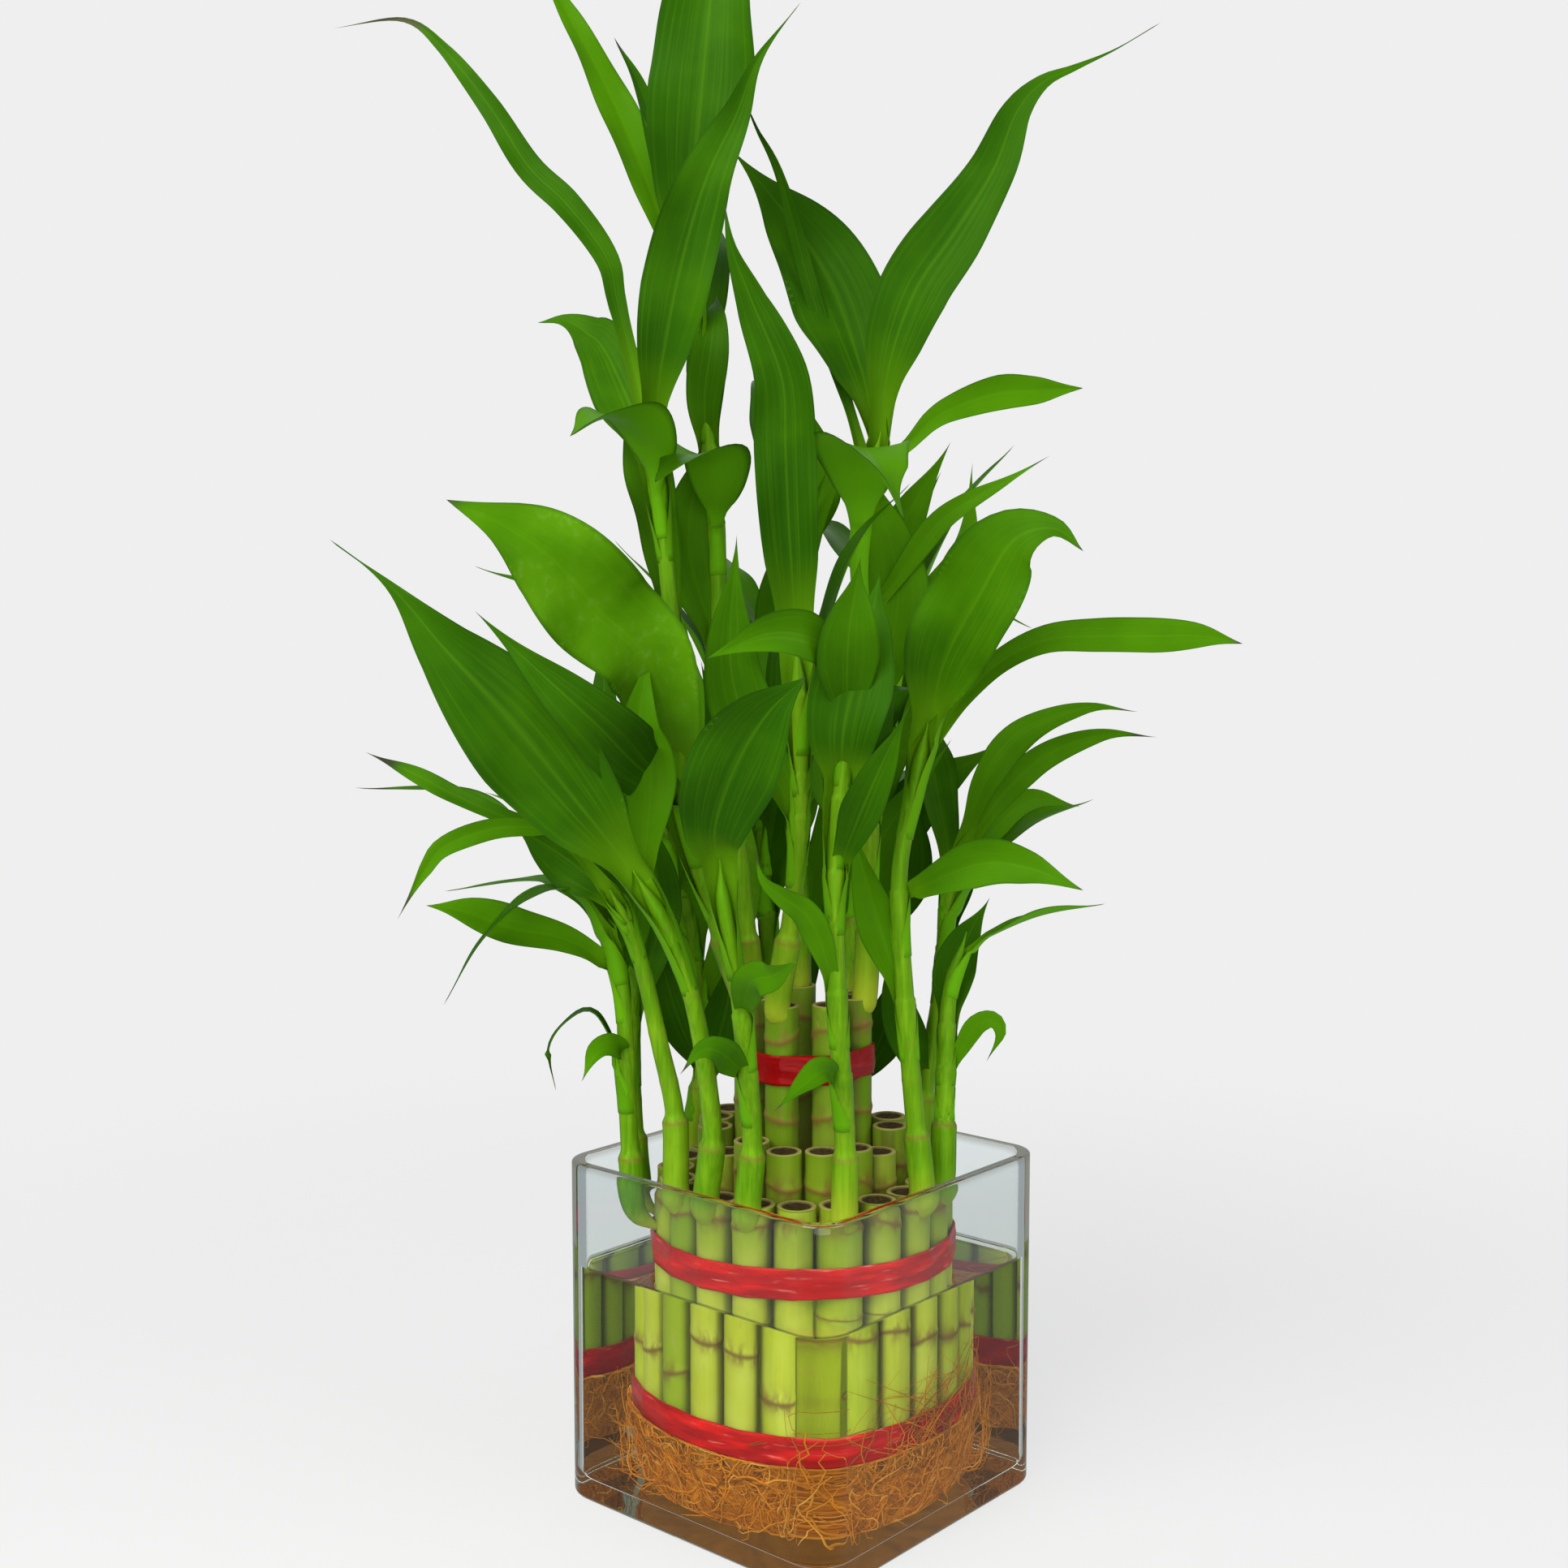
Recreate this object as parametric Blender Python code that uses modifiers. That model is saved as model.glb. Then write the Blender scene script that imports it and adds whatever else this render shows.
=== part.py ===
"""Lucky bamboo: two tiers of cut canes, tied with red ribbon, in a square glass vase of water.

The vase stands on its underside, whose centre is the origin, with +Z up and its sides along X and Y.
The bunch is set out in a frame of its own, in millimetres: x to the right, y away, z up from the table,
seen from the side that looks best. That frame is then turned by BUNCH_TURN about Z in the vase.
"""

import math
import random

import bmesh
import bpy
from mathutils import Vector
from mathutils.bvhtree import BVHTree

MM = 0.001
GAP = 0.3 * MM                      # between pieces that touch
WELD = 0.01 * MM                    # points of a curve's tube and its caps closer than this are one
JOINED_WELD = 0.001 * MM            # the same for fused pieces

# Vase and water
VASE_SIDE = 100 * MM
VASE_HEIGHT = 100 * MM
VASE_WALL = 3 * MM
VASE_BASE = 6 * MM
VASE_CORNER = 8 * MM                # radius of the upright edges
VASE_FOOT = 2 * MM                  # rounding of the edge it stands on
WATER_TOP = 68 * MM

# Bunch
BUNCH_TURN = math.radians(41)
CANE_FOOT = 22 * MM                 # the canes stand on the root mat
OUTER_COUNT = 20
OUTER_RING = 37 * MM                # radius of the ring that the cane centres lie on
OUTER_CANE = 5.5 * MM               # radius of a cane
OUTER_TOP = 96 * MM
OUTER_START = -3                    # degrees, direction of the first outer cane
INNER_COUNT = 16
INNER_STEP = 21.9                   # degrees between canes that touch in one group
INNER_RING = 25.8 * MM
INNER_CANE = 5.3 * MM
INNER_TOP = 110 * MM
INNER_GROUPS = 4                    # nodes that the inner ring is fused in
UPPER_COUNT = 7
UPPER_RING = 15.4 * MM
UPPER_CANE = 4.8 * MM
UPPER_TOP = 147 * MM
UPPER_START = 247
CANE_SIDES = 10
NODE_RIDGE = 0.35 * MM              # how far a cane's joint stands out
RIBBON_WIDTH = 8.5 * MM
RIBBON_THICK = 0.6 * MM
RIBBON_LOWS = {"ribbon_foot": 27 * MM, "ribbon_waist": 72 * MM}
RIBBON_UPPER_LOW = 125 * MM

# Roots
ROOT_TOP_RADIUS = 42 * MM           # the mass under the canes, wide above and narrower on the vase's floor
ROOT_FLOOR_RADIUS = 37 * MM
ROOT_SIDES = 22
ROOT_THICK = 0.8 * MM               # radius of a strand
WOUND_STRANDS = 10                  # strands that lie round the mass
TUFT_REACH = 49 * MM                # from the vase's axis to the middle of the tuft in each corner
TUFT_RADIUS = 4.5 * MM
TUFT_TOP = 41 * MM
TUFT_STRANDS = 3
TUFT_ROUTE = [                      # a strand's points: reach past the tuft's middle in mm, height as a share
    (-12, 0.28, 0.6),               # of the strand's top, and how far aside as a share of the tuft's radius
    (-3, 0.38, 0.8),
    (2, 0.62, 0.9),
    (1, 0.82, 0.6),
    (-0.5, 1.0, 0.3),
]

# Shoots and leaves
STEM_SIDES_RESOLUTION = 1           # six sides
STEM_FOOT_RADIUS = 3.9 * MM
STEM_RADIUS = 3.0 * MM
STEM_TOP_RADIUS = 2.0 * MM
SEAT_SHIFT = 1.2 * MM               # a shoot on a cut top stands this much outside the cane's middle
SIDE_DROP = 12 * MM                 # a shoot on a cane's side leaves it this far below the cut top
STEM_KNEE = 12 * MM                 # length over which a stem from a cane's side swells
STEM_THICK_PART = 24 * MM           # length of the stout lowest part of a shoot
LEAF_THICK = 0.8 * MM
LEAF_ROW = 48 * MM                  # a blade has three rows of points, and one more for each such length
LEAF_WIDEST = 0.42                  # share of the length at which a blade is widest
LEAF_NECK = 0.22                    # width at the stem, as a share of the widest
LEAF_LOOK_UP = 20                   # degrees that a blade's face looks up
GUARD_THICK = 1.8 * MM              # thickness of the blade that is tried for a clear place
SEED = 11

# Each shoot: the cane it grows from, whether it leaves the cane's side or its cut top, the points that its
# stem passes, and its leaves. A leaf is the height at which it leaves the stem, its width, the direction its
# face looks, in degrees, or UP, and the points that its rib passes, the tip last. All in millimetres in the
# bunch's frame. spare is how many more leaves the shoot has by rule, from what height to what height, and
# the direction they take.
UP = None
SHOOTS = {
    "shoot_left_low": {
        "cane": ("outer", 11), "seat": "side",
        "path": [(-46, -12, 86), (-48, -13, 92), (-49, -13, 102), (-50, -13, 120), (-51, -12, 148),
                 (-55, -9, 168)],
        "leaves": [
            (128, 5, UP, (-59, -12, 144), (-67, -13, 142), (-72, -14, 134), (-70, -14, 122)),
            (132, 7, 270, (-57, -24, 134), (-61, -32, 128)),
            (157, 12, 290, (-67, -16, 166), (-82, -20, 170), (-94, -23, 175), (-104, -25, 177)),
            (165, 7, UP, (-65, -20, 180), (-76, -26, 179), (-88, -31, 168), (-98, -34, 151)),
            (167, 9, UP, (-68, 2, 177), (-80, 10, 179), (-107, 22, 174)),
        ],
        "spare": (0, 0, 0, 0),
    },
    "shoot_left": {
        "cane": ("outer", 12), "seat": "top",
        "path": [(-36, -22, 118), (-40, -23, 138), (-44, -24, 157), (-48, -26, 171), (-53, -29, 182)],
        "leaves": [
            (181, 9, UP, (-61, -35, 195), (-71, -41, 202), (-86, -45, 201), (-98, -48, 193),
             (-107, -50, 177)),
            (181, 9, UP, (-67, -29, 196), (-84, -27, 203), (-98, -24, 210), (-121, -20, 219)),
            (178, 16, 262, (-64, -20, 188), (-82, -15, 199)),
        ],
        "spare": (0, 0, 0, 0),
    },
    "shoot_left_front": {
        "cane": ("outer", 13), "seat": "top",
        "path": [(-25, -36, 118), (-29, -42, 150), (-36, -46, 173), (-45, -49, 190)],
        "leaves": [
            (188, 30, 262, (-59, -56, 209), (-74, -61, 229), (-91, -62, 248), (-105, -60, 264),
             (-121, -57, 276)),
        ],
        "spare": (0, 0, 0, 0),
    },
    "shoot_front_left": {
        "cane": ("outer", 14), "seat": "top",
        "path": [(-14, -42, 118), (-17, -50, 155), (-21, -55, 181), (-22, -57, 194)],
        "leaves": [
            (134, 9, UP, (-27, -64, 144), (-33, -72, 140)),
            (150, 18, 262, (-12, -71, 165), (0, -84, 172)),
            (192, 24, 268, (-23, -62, 202), (-18, -70, 218), (-10, -76, 232), (0, -80, 242)),
        ],
        "spare": (0, 0, 0, 0),
    },
    "shoot_front": {
        "cane": ("outer", 16), "seat": "top",
        "path": [(11, -42, 117), (9, -47, 150), (8, -48, 185), (10, -46, 215), (12, -43, 240)],
        "leaves": [
            (133, 8, UP, (2, -60, 138), (-9, -72, 133)),
            (156, 10, 300, (-2, -62, 184), (-14, -72, 194)),
            (188, 11, 260, (17, -60, 213), (26, -68, 234)),
            (229, 17, 272, (11, -56, 250), (14, -60, 272)),
            (238, 13, 290, (7, -50, 246), (1, -57, 251), (-10, -64, 252), (-25, -70, 246)),
        ],
        "spare": (1, 200, 215, 60),
    },
    "shoot_front_right": {
        "cane": ("outer", 18), "seat": "top",
        "path": [(31, -27, 117), (28, -29, 150), (26, -30, 185), (30, -28, 208), (34, -26, 228)],
        "leaves": [
            (150, 12, 268, (20, -24, 174), (13, -22, 200)),
            (180, 16, 275, (42, -38, 190), (56, -46, 195), (64, -51, 192), (73, -56, 185)),
            (220, 14, 285, (44, -28, 239), (58, -30, 248), (75, -32, 252), (101, -33, 253), (118, -32, 249)),
            (226, 28, 256, (38, -33, 245), (46, -42, 262), (54, -48, 276), (64, -52, 279), (71, -56, 273)),
        ],
        "spare": (0, 0, 0, 0),
    },
    "shoot_right": {
        "cane": ("outer", 19), "seat": "top",
        "path": [(40, -14, 112), (41, -9, 130), (42, -6, 148), (47, -3, 166)],
        "leaves": [
            (126, 6, 270, (47, -9, 138), (53, -10, 141), (57, -11, 137), (56, -12, 128), (51, -12, 120)),
            (138, 13, 265, (45, 4, 156), (55, 10, 174)),
            (161, 8, UP, (67, -1, 170), (88, 4, 173)),
        ],
        "spare": (0, 0, 0, 0),
    },
    "shoot_right_back": {
        "cane": ("outer", 2), "seat": "top",
        "path": [(38, 23, 118), (42, 24, 145), (44, 25, 169), (49, 28, 188)],
        "leaves": [
            (186, 10, 285, (54, 22, 206), (65, 20, 221), (84, 18, 229), (99, 18, 228)),
            (184, 9, 285, (60, 28, 202), (74, 33, 214), (92, 37, 220), (109, 40, 219)),
            (178, 10, 285, (58, 36, 190), (71, 44, 199), (88, 55, 196)),
        ],
        "spare": (3, 150, 182, 60),
    },
    "shoot_tall_left": {
        "cane": ("upper", 6), "seat": "top",
        "path": [(-24, -8, 168), (-33, -13, 202), (-36, -16, 250), (-40, -16, 290), (-43, -16, 310)],
        "leaves": [
            (204, 14, 290, (-62, -12, 235), (-93, 0, 258)),
            (210, 27, 258, (-42, -32, 236), (-53, -43, 258), (-70, -51, 275), (-91, -56, 287)),
            (224, 11, UP, (-66, 12, 258), (-98, 30, 271)),
            (290, 22, UP, (-44, -42, 308), (-57, -66, 298)),
            (299, 20, 262, (-65, 16, 337), (-71, 42, 328)),
            (304, 21, 268, (-37, -23, 328), (-30, -32, 358), (-22, -35, 377), (-13, -37, 395),
             (-1, -38, 416)),
            (309, 11, 290, (-54, -13, 352), (-68, -7, 379), (-88, 2, 400), (-108, 9, 422), (-133, 13, 422)),
        ],
        "spare": (1, 235, 262, 100),
    },
    "shoot_tallest": {
        "cane": ("upper", 5), "seat": "top",
        "path": [(-18, 9, 180), (-23, 8, 235), (-25, 8, 284), (-29, 6, 325), (-32, 4, 350)],
        "leaves": [
            (281, 18, UP, (-29, 32, 297), (-17, 64, 306)),
            (302, 12, 275, (-28, 22, 331), (-24, 48, 351)),
            (343, 11, 275, (-53, 14, 400), (-82, 22, 454)),
            (346, 9, 275, (-42, 30, 388), (-56, 46, 426)),
            (349, 30, 268, (-31, -1, 371), (-28, -4, 401), (-25, 0, 432), (-20, 10, 474)),
        ],
        "spare": (1, 315, 330, 60),
    },
    "shoot_middle": {
        "cane": ("upper", 0), "seat": "top",
        "path": [(-3, -19, 175), (-1, -21, 202), (-1, -22, 228), (-2, -23, 250)],
        "leaves": [
            (249, 23, 272, (-3, -27, 280), (-7, -32, 308), (-14, -31, 334), (-24, -18, 364)),
        ],
        "spare": (2, 200, 245, 100),
    },
    "shoot_tall_right": {
        "cane": ("upper", 2), "seat": "top",
        "path": [(19, 0, 175), (19, 4, 230), (16, 2, 270), (18, 1, 290), (22, 0, 308)],
        "leaves": [
            (247, 8, 265, (45, 12, 272), (50, 22, 301)),
            (254, 10, 290, (26, 0, 266), (40, -3, 284), (55, 0, 293), (74, 6, 302)),
            (280, 20, UP, (15, -26, 300), (25, -56, 283)),
            (296, 7, 275, (2, -14, 340), (-16, -10, 394)),
            (302, 13, 285, (38, 12, 315), (56, 18, 326), (68, 23, 327), (81, 27, 324)),
            (304, 25, 265, (31, -6, 336), (42, -9, 360), (55, -11, 382), (66, -12, 399), (98, -13, 417)),
            (306, 28, 272, (16, 8, 328), (8, 18, 352), (-5, 25, 373), (-21, 32, 393)),
        ],
        "spare": (1, 225, 240, 250),
    },
    "shoot_back_right": {
        "cane": ("upper", 3), "seat": "top",
        "path": [(18, 17, 180), (25, 24, 220), (28, 28, 250), (28, 32, 266)],
        "leaves": [
            (249, 12, UP, (44, 38, 263), (72, 52, 252)),
        ],
        "spare": (5, 200, 262, 60),
    },
    "shoot_back": {
        "cane": ("upper", 4), "seat": "top",
        "path": [(-1, 24, 180), (-4, 32, 225), (-6, 38, 265), (-8, 42, 296)],
        "leaves": [],
        "spare": (6, 205, 292, 100),
    },
    "shoot_low_back_right": {
        "cane": ("outer", 4), "seat": "top",
        "path": [(16, 38, 120), (18, 42, 150), (20, 47, 175), (22, 54, 200)],
        "leaves": [],
        "spare": (5, 130, 196, 70),
    },
    "shoot_low_back": {
        "cane": ("outer", 6), "seat": "top",
        "path": [(-10, 40, 120), (-10, 46, 155), (-14, 54, 190), (-16, 60, 215)],
        "leaves": [],
        "spare": (5, 140, 212, 100),
    },
    "shoot_low_back_left": {
        "cane": ("outer", 8), "seat": "top",
        "path": [(-30, 28, 120), (-33, 33, 150), (-38, 40, 175), (-44, 48, 196)],
        "leaves": [],
        "spare": (5, 130, 192, 125),
    },
    "shoot_left_back": {
        "cane": ("outer", 10), "seat": "side",
        "path": [(-46, 3, 86), (-48, 3, 92), (-49, 3, 102), (-50, 5, 120), (-52, 14, 160), (-56, 20, 182)],
        "leaves": [],
        "spare": (4, 140, 180, 120),
    },
}


def clear_scene():
    for thing in list(bpy.data.objects):
        bpy.data.objects.remove(thing, do_unlink=True)


def material(name, colour, roughness, transmission=0.0):
    made = bpy.data.materials.new(name)
    made.use_nodes = True
    shader = made.node_tree.nodes["Principled BSDF"]
    shader.inputs["Base Color"].default_value = (*colour, 1.0)
    shader.inputs["Roughness"].default_value = roughness
    shader.inputs["Metallic"].default_value = 0.0
    shader.inputs["Transmission Weight"].default_value = transmission
    made.diffuse_color = (*colour, 1.0)
    return made


def add(name, data, finish, group, parent=None):
    """One named piece, in its collection and under its parent."""
    piece = bpy.data.objects.new(name, data)
    group.objects.link(piece)
    if finish:
        data.materials.append(finish)
    piece.parent = parent
    return piece


def mesh_from(bm, name):
    bmesh.ops.recalc_face_normals(bm, faces=bm.faces)
    data = bpy.data.meshes.new(name)
    bm.to_mesh(data)
    bm.free()
    return data


def frozen(piece, weld=WELD):
    """The piece as a plain mesh, with its modifiers applied and a curve's caps welded on."""
    bpy.context.view_layer.update()
    seen = piece.evaluated_get(bpy.context.evaluated_depsgraph_get())
    data = bpy.data.meshes.new_from_object(seen)
    bm = bmesh.new()
    bm.from_mesh(data)
    bmesh.ops.remove_doubles(bm, verts=bm.verts, dist=weld)
    bm.to_mesh(data)
    bm.free()
    plain = bpy.data.objects.new(piece.name, data)
    plain.parent = piece.parent
    plain.matrix_world = piece.matrix_world.copy()
    for group in piece.users_collection:
        group.objects.link(plain)
    name = piece.name
    bpy.data.objects.remove(piece, do_unlink=True)
    plain.name = name
    return plain


def drop_scraps(data):
    """Keeps only the largest body of a mesh."""
    bm = bmesh.new()
    bm.from_mesh(data)
    bodies = []
    left = set(bm.verts)
    while left:
        body = []
        front = [left.pop()]
        while front:
            vert = front.pop()
            body.append(vert)
            near = {edge.other_vert(vert) for edge in vert.link_edges} & left
            left -= near
            front.extend(near)
        bodies.append(body)
    bodies.sort(key=len)
    for body in bodies[:-1]:
        bmesh.ops.delete(bm, geom=body, context="VERTS")
    bm.to_mesh(data)
    bm.free()


def join_with(piece, group, solver="EXACT"):
    """Fuses the piece with everything in a collection of its own, which is then taken away."""
    union = piece.modifiers.new("union", "BOOLEAN")
    union.operation = "UNION"
    union.operand_type = "COLLECTION"
    union.collection = group
    union.solver = solver
    joined = frozen(piece, JOINED_WELD)
    drop_scraps(joined.data)
    for other in list(group.objects):
        bpy.data.objects.remove(other, do_unlink=True)
    bpy.data.collections.remove(group)
    return joined


def cut(piece, tool):
    difference = piece.modifiers.new("cut " + tool.name, "BOOLEAN")
    difference.operation = "DIFFERENCE"
    difference.object = tool
    tool.hide_render = True
    tool.display_type = "WIRE"


def compass(radius, degrees, height=0.0):
    turn = math.radians(degrees)
    return Vector((radius * math.cos(turn), radius * math.sin(turn), height))


def rounded_block(side, corner, low, high, foot=0.0):
    """An upright square block with rounded upright edges, and its lowest edge rounded by foot."""
    bm = bmesh.new()
    bmesh.ops.create_cube(bm, size=1.0)
    bmesh.ops.scale(bm, vec=(side, side, high - low), verts=bm.verts)
    bmesh.ops.translate(bm, vec=(0, 0, (low + high) / 2), verts=bm.verts)
    upright = [e for e in bm.edges if abs(e.verts[0].co.z - e.verts[1].co.z) > (high - low) / 2]
    bmesh.ops.bevel(bm, geom=upright, offset=corner, segments=5, profile=0.5, affect="EDGES")
    if foot:
        lowest = [e for e in bm.edges if max(v.co.z for v in e.verts) < low + GAP]
        bmesh.ops.bevel(bm, geom=lowest, offset=foot, segments=2, profile=0.5, affect="EDGES")
    return mesh_from(bm, "block")


def turned(name, outline, sides, finish, group, parent=None):
    """A turned solid from an outline of (radius, height) points, from the top axis down its outer side."""
    bm = bmesh.new()
    points = [bm.verts.new((r, 0.0, z)) for r, z in outline]
    for above, below in zip(points, points[1:]):
        bm.edges.new((above, below))
    data = bpy.data.meshes.new(name)
    bm.to_mesh(data)
    bm.free()
    piece = add(name, data, finish, group, parent)
    screw = piece.modifiers.new("turn", "SCREW")
    screw.steps = sides
    screw.render_steps = sides
    screw.use_merge_vertices = True
    screw.merge_threshold = WELD
    return piece


def cane_outline(radius, top, joints):
    """A cane from its cut top to its foot, with a slim ridge at each joint."""
    outline = [(0.0, top), (radius, top)]
    for height in joints:
        outline.append((radius, height + 3 * NODE_RIDGE))
        outline.append((radius + NODE_RIDGE, height))
        outline.append((radius, height - 3 * NODE_RIDGE))
    outline.append((radius, CANE_FOOT))
    outline.append((0.0, CANE_FOOT))
    return outline


def place_cane(name, ring, degrees, radius, top, joints, finish, group, parent):
    cane = turned(name, cane_outline(radius, top, joints), CANE_SIDES, finish, group, parent)
    cane.location = compass(ring, degrees)
    cane.rotation_euler.z = math.radians(degrees)
    return cane


def outer_angle(index):
    return OUTER_START + index * 360 / OUTER_COUNT


def upper_angle(index):
    return UPPER_START + index * 360 / UPPER_COUNT


def make_vase(finish, group, tools):
    vase = add("vase", rounded_block(VASE_SIDE, VASE_CORNER, 0.0, VASE_HEIGHT, VASE_FOOT), finish, group)
    side = VASE_SIDE - 2 * VASE_WALL
    inside = rounded_block(side, VASE_CORNER - VASE_WALL, VASE_BASE, VASE_HEIGHT + VASE_WALL)
    cut(vase, add("vase_inside", inside, None, tools))


def bundle_radius():
    return OUTER_RING + OUTER_CANE + RIBBON_THICK + 2 * GAP


def root_top():
    return CANE_FOOT - GAP


def root_radius(height):
    share = (height - VASE_BASE) / (root_top() - VASE_BASE)
    return ROOT_FLOOR_RADIUS + (ROOT_TOP_RADIUS - ROOT_FLOOR_RADIUS) * math.sqrt(max(share, 0.0))


def make_water(finish, group, tools):
    """Water with one plain round hole for the bunch, and a pocket in each corner for rising roots."""
    side = VASE_SIDE - 2 * VASE_WALL - 2 * GAP
    block = rounded_block(side, VASE_CORNER - VASE_WALL, VASE_BASE + GAP, WATER_TOP)
    water = add("water", block, finish, group)
    radius = bundle_radius() + GAP
    outline = [(0.0, VASE_HEIGHT), (radius, VASE_HEIGHT), (radius, 0.0), (0.0, 0.0)]
    cut(water, turned("bunch_hole", outline, 40, None, tools))
    for corner in range(4):
        pocket = TUFT_RADIUS + 2 * MM
        outline = [(0.0, TUFT_TOP + 3 * MM), (pocket, TUFT_TOP + MM), (pocket + MM, 0.0), (0.0, 0.0)]
        hole = turned("tuft_pocket", outline, 12, None, tools)
        hole.location = compass(TUFT_REACH, 45 + 90 * corner)
        cut(water, hole)


def wound(points, radius, resolution, radii=None):
    """A curve through the points, with a round section and filled caps."""
    data = bpy.data.curves.new("strand", "CURVE")
    data.dimensions = "3D"
    data.bevel_depth = radius
    data.bevel_resolution = resolution
    data.use_fill_caps = True
    spline = data.splines.new("POLY")
    spline.points.add(len(points) - 1)
    for index, point in enumerate(points):
        spline.points[index].co = (*point, 1.0)
        spline.points[index].radius = radii[index] if radii else 1.0
    return data


def make_roots(finish, group):
    """A tangled mass under the canes, with strands wound round it and a tuft rising in each corner."""
    rng = random.Random(SEED)
    levels = [root_top() - step * (root_top() - VASE_BASE - GAP) / 4 for step in range(5)]
    outline = [(0.0, levels[0])] + [(root_radius(z), z) for z in levels] + [(0.0, levels[-1])]
    mass = frozen(turned("roots", outline, ROOT_SIDES, finish, group))
    strands = bpy.data.collections.new("root_strands")
    bpy.context.scene.collection.children.link(strands)
    for index in range(WOUND_STRANDS):
        start = index * 360 / WOUND_STRANDS
        run = rng.uniform(24, 40) * rng.choice((-1, 1))
        low = rng.uniform(9, 11) * MM
        high = rng.uniform(17, 19.5) * MM
        points = []
        for step in range(5):
            height = low + (high - low) * step / 4
            points.append(compass(root_radius(height) - ROOT_THICK / 4, start + run * step / 4, height))
        frozen(add("strand", wound(points, ROOT_THICK, 0), None, strands))
    for corner in range(4):
        for index in range(TUFT_STRANDS):
            aside = TUFT_RADIUS * (2 * index / (TUFT_STRANDS - 1) - 1)
            top = rng.uniform(0.8, 0.97) * TUFT_TOP
            points = []
            for reach, rise, spread in TUFT_ROUTE:
                points.append(Vector((TUFT_REACH + reach * MM, aside * spread, top * rise)))
            strand = add("strand", wound(points, ROOT_THICK, 0), None, strands)
            strand.rotation_euler.z = math.radians(45 + 90 * corner)
            frozen(strand)
    join_with(mass, strands)


def tier_outline(ring, radius, count, start, arc_points):
    """The closed line that a band drawn tight round a ring of canes follows."""
    outline = []
    for index in range(count):
        degrees = start + index * 360 / count
        for step in range(arc_points):
            spread = (step / (arc_points - 1) - 0.5) * 360 / count
            outline.append(compass(ring, degrees) + compass(radius, degrees + spread))
    return outline


def make_ribbon(name, ring, radius, count, start, low, finish, group, parent, arc_points=2):
    """A flat band round a tier, clear of its canes by GAP."""
    data = bpy.data.curves.new(name, "CURVE")
    data.dimensions = "2D"
    data.fill_mode = "NONE"
    data.extrude = RIBBON_WIDTH / 2
    line = tier_outline(ring, radius + GAP, count, start, arc_points)
    spline = data.splines.new("POLY")
    spline.points.add(len(line) - 1)
    for index, point in enumerate(line):
        spline.points[index].co = (*point, 1.0)
    spline.use_cyclic_u = True
    band = add(name, data, finish, group, parent)
    band.location.z = low + RIBBON_WIDTH / 2
    shell = band.modifiers.new("thickness", "SOLIDIFY")
    shell.thickness = RIBBON_THICK
    shell.offset = 1.0
    return band


def make_canes(finish, group, parent):
    rng = random.Random(SEED)
    for index in range(OUTER_COUNT):
        joint = rng.uniform(44, 62) * MM
        place_cane(f"cane_outer_{index + 1:02d}", OUTER_RING, outer_angle(index), OUTER_CANE, OUTER_TOP,
                   [joint], finish, group, parent)
    share = INNER_COUNT // INNER_GROUPS
    for number in range(INNER_GROUPS):
        canes = []
        others = bpy.data.collections.new("fused_canes")
        bpy.context.scene.collection.children.link(others)
        for index in range(share):
            degrees = (number + 0.5) * 360 / INNER_GROUPS + (index - (share - 1) / 2) * INNER_STEP
            top = INNER_TOP - rng.choice((0, 2, 5)) * MM
            home = others if index else group
            canes.append(place_cane(f"canes_inner_{number + 1}", INNER_RING, degrees, INNER_CANE, top,
                                    [], finish, home, parent))
        for cane in canes:
            cane.rotation_euler.z = canes[0].rotation_euler.z
        join_with(canes[0], others)
    for index in range(UPPER_COUNT):
        joint = rng.uniform(112, 118) * MM
        place_cane(f"cane_upper_{index + 1}", UPPER_RING, upper_angle(index), UPPER_CANE, UPPER_TOP,
                   [joint], finish, group, parent)


def seat(shoot):
    """Where a shoot leaves its cane: the first points of its stem, clear of the cane by GAP."""
    tier, index = shoot["cane"]
    ring, radius, top = OUTER_RING, OUTER_CANE, OUTER_TOP
    degrees = outer_angle(index)
    if tier == "upper":
        ring, radius, top = UPPER_RING, UPPER_CANE, UPPER_TOP
        degrees = upper_angle(index)
    if shoot["seat"] == "top":
        foot = compass(ring + SEAT_SHIFT, degrees, top + GAP)
        return [foot, foot + Vector((0, 0, 4 * MM))]
    side = ring + radius + GAP
    return [compass(side, degrees, top - SIDE_DROP), compass(side + 1.5 * MM, degrees, top - SIDE_DROP)]


def smooth(points, share):
    """A point on the smooth line through the points, share of the way along it."""
    lengths = [(b - a).length for a, b in zip(points, points[1:])]
    run = share * sum(lengths)
    index = 0
    while index < len(lengths) - 1 and run > lengths[index]:
        run -= lengths[index]
        index += 1
    t = run / lengths[index]
    start = points[index]
    end = points[index + 1]
    before = points[index - 1] if index else 2 * start - end
    after = points[index + 2] if index + 2 < len(points) else 2 * end - start
    square = 2 * before - 5 * start + 4 * end - after
    cube = 3 * start - before - 3 * end + after
    return start + 0.5 * ((end - before) * t + square * t ** 2 + cube * t ** 3)


def stem_points(shoot):
    foot, start = seat(shoot)
    knots = [start] + [MM * Vector(p) for p in shoot["path"]]
    count = len(knots) + 2
    return [foot] + [smooth(knots, step / count) for step in range(count + 1)]


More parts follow.
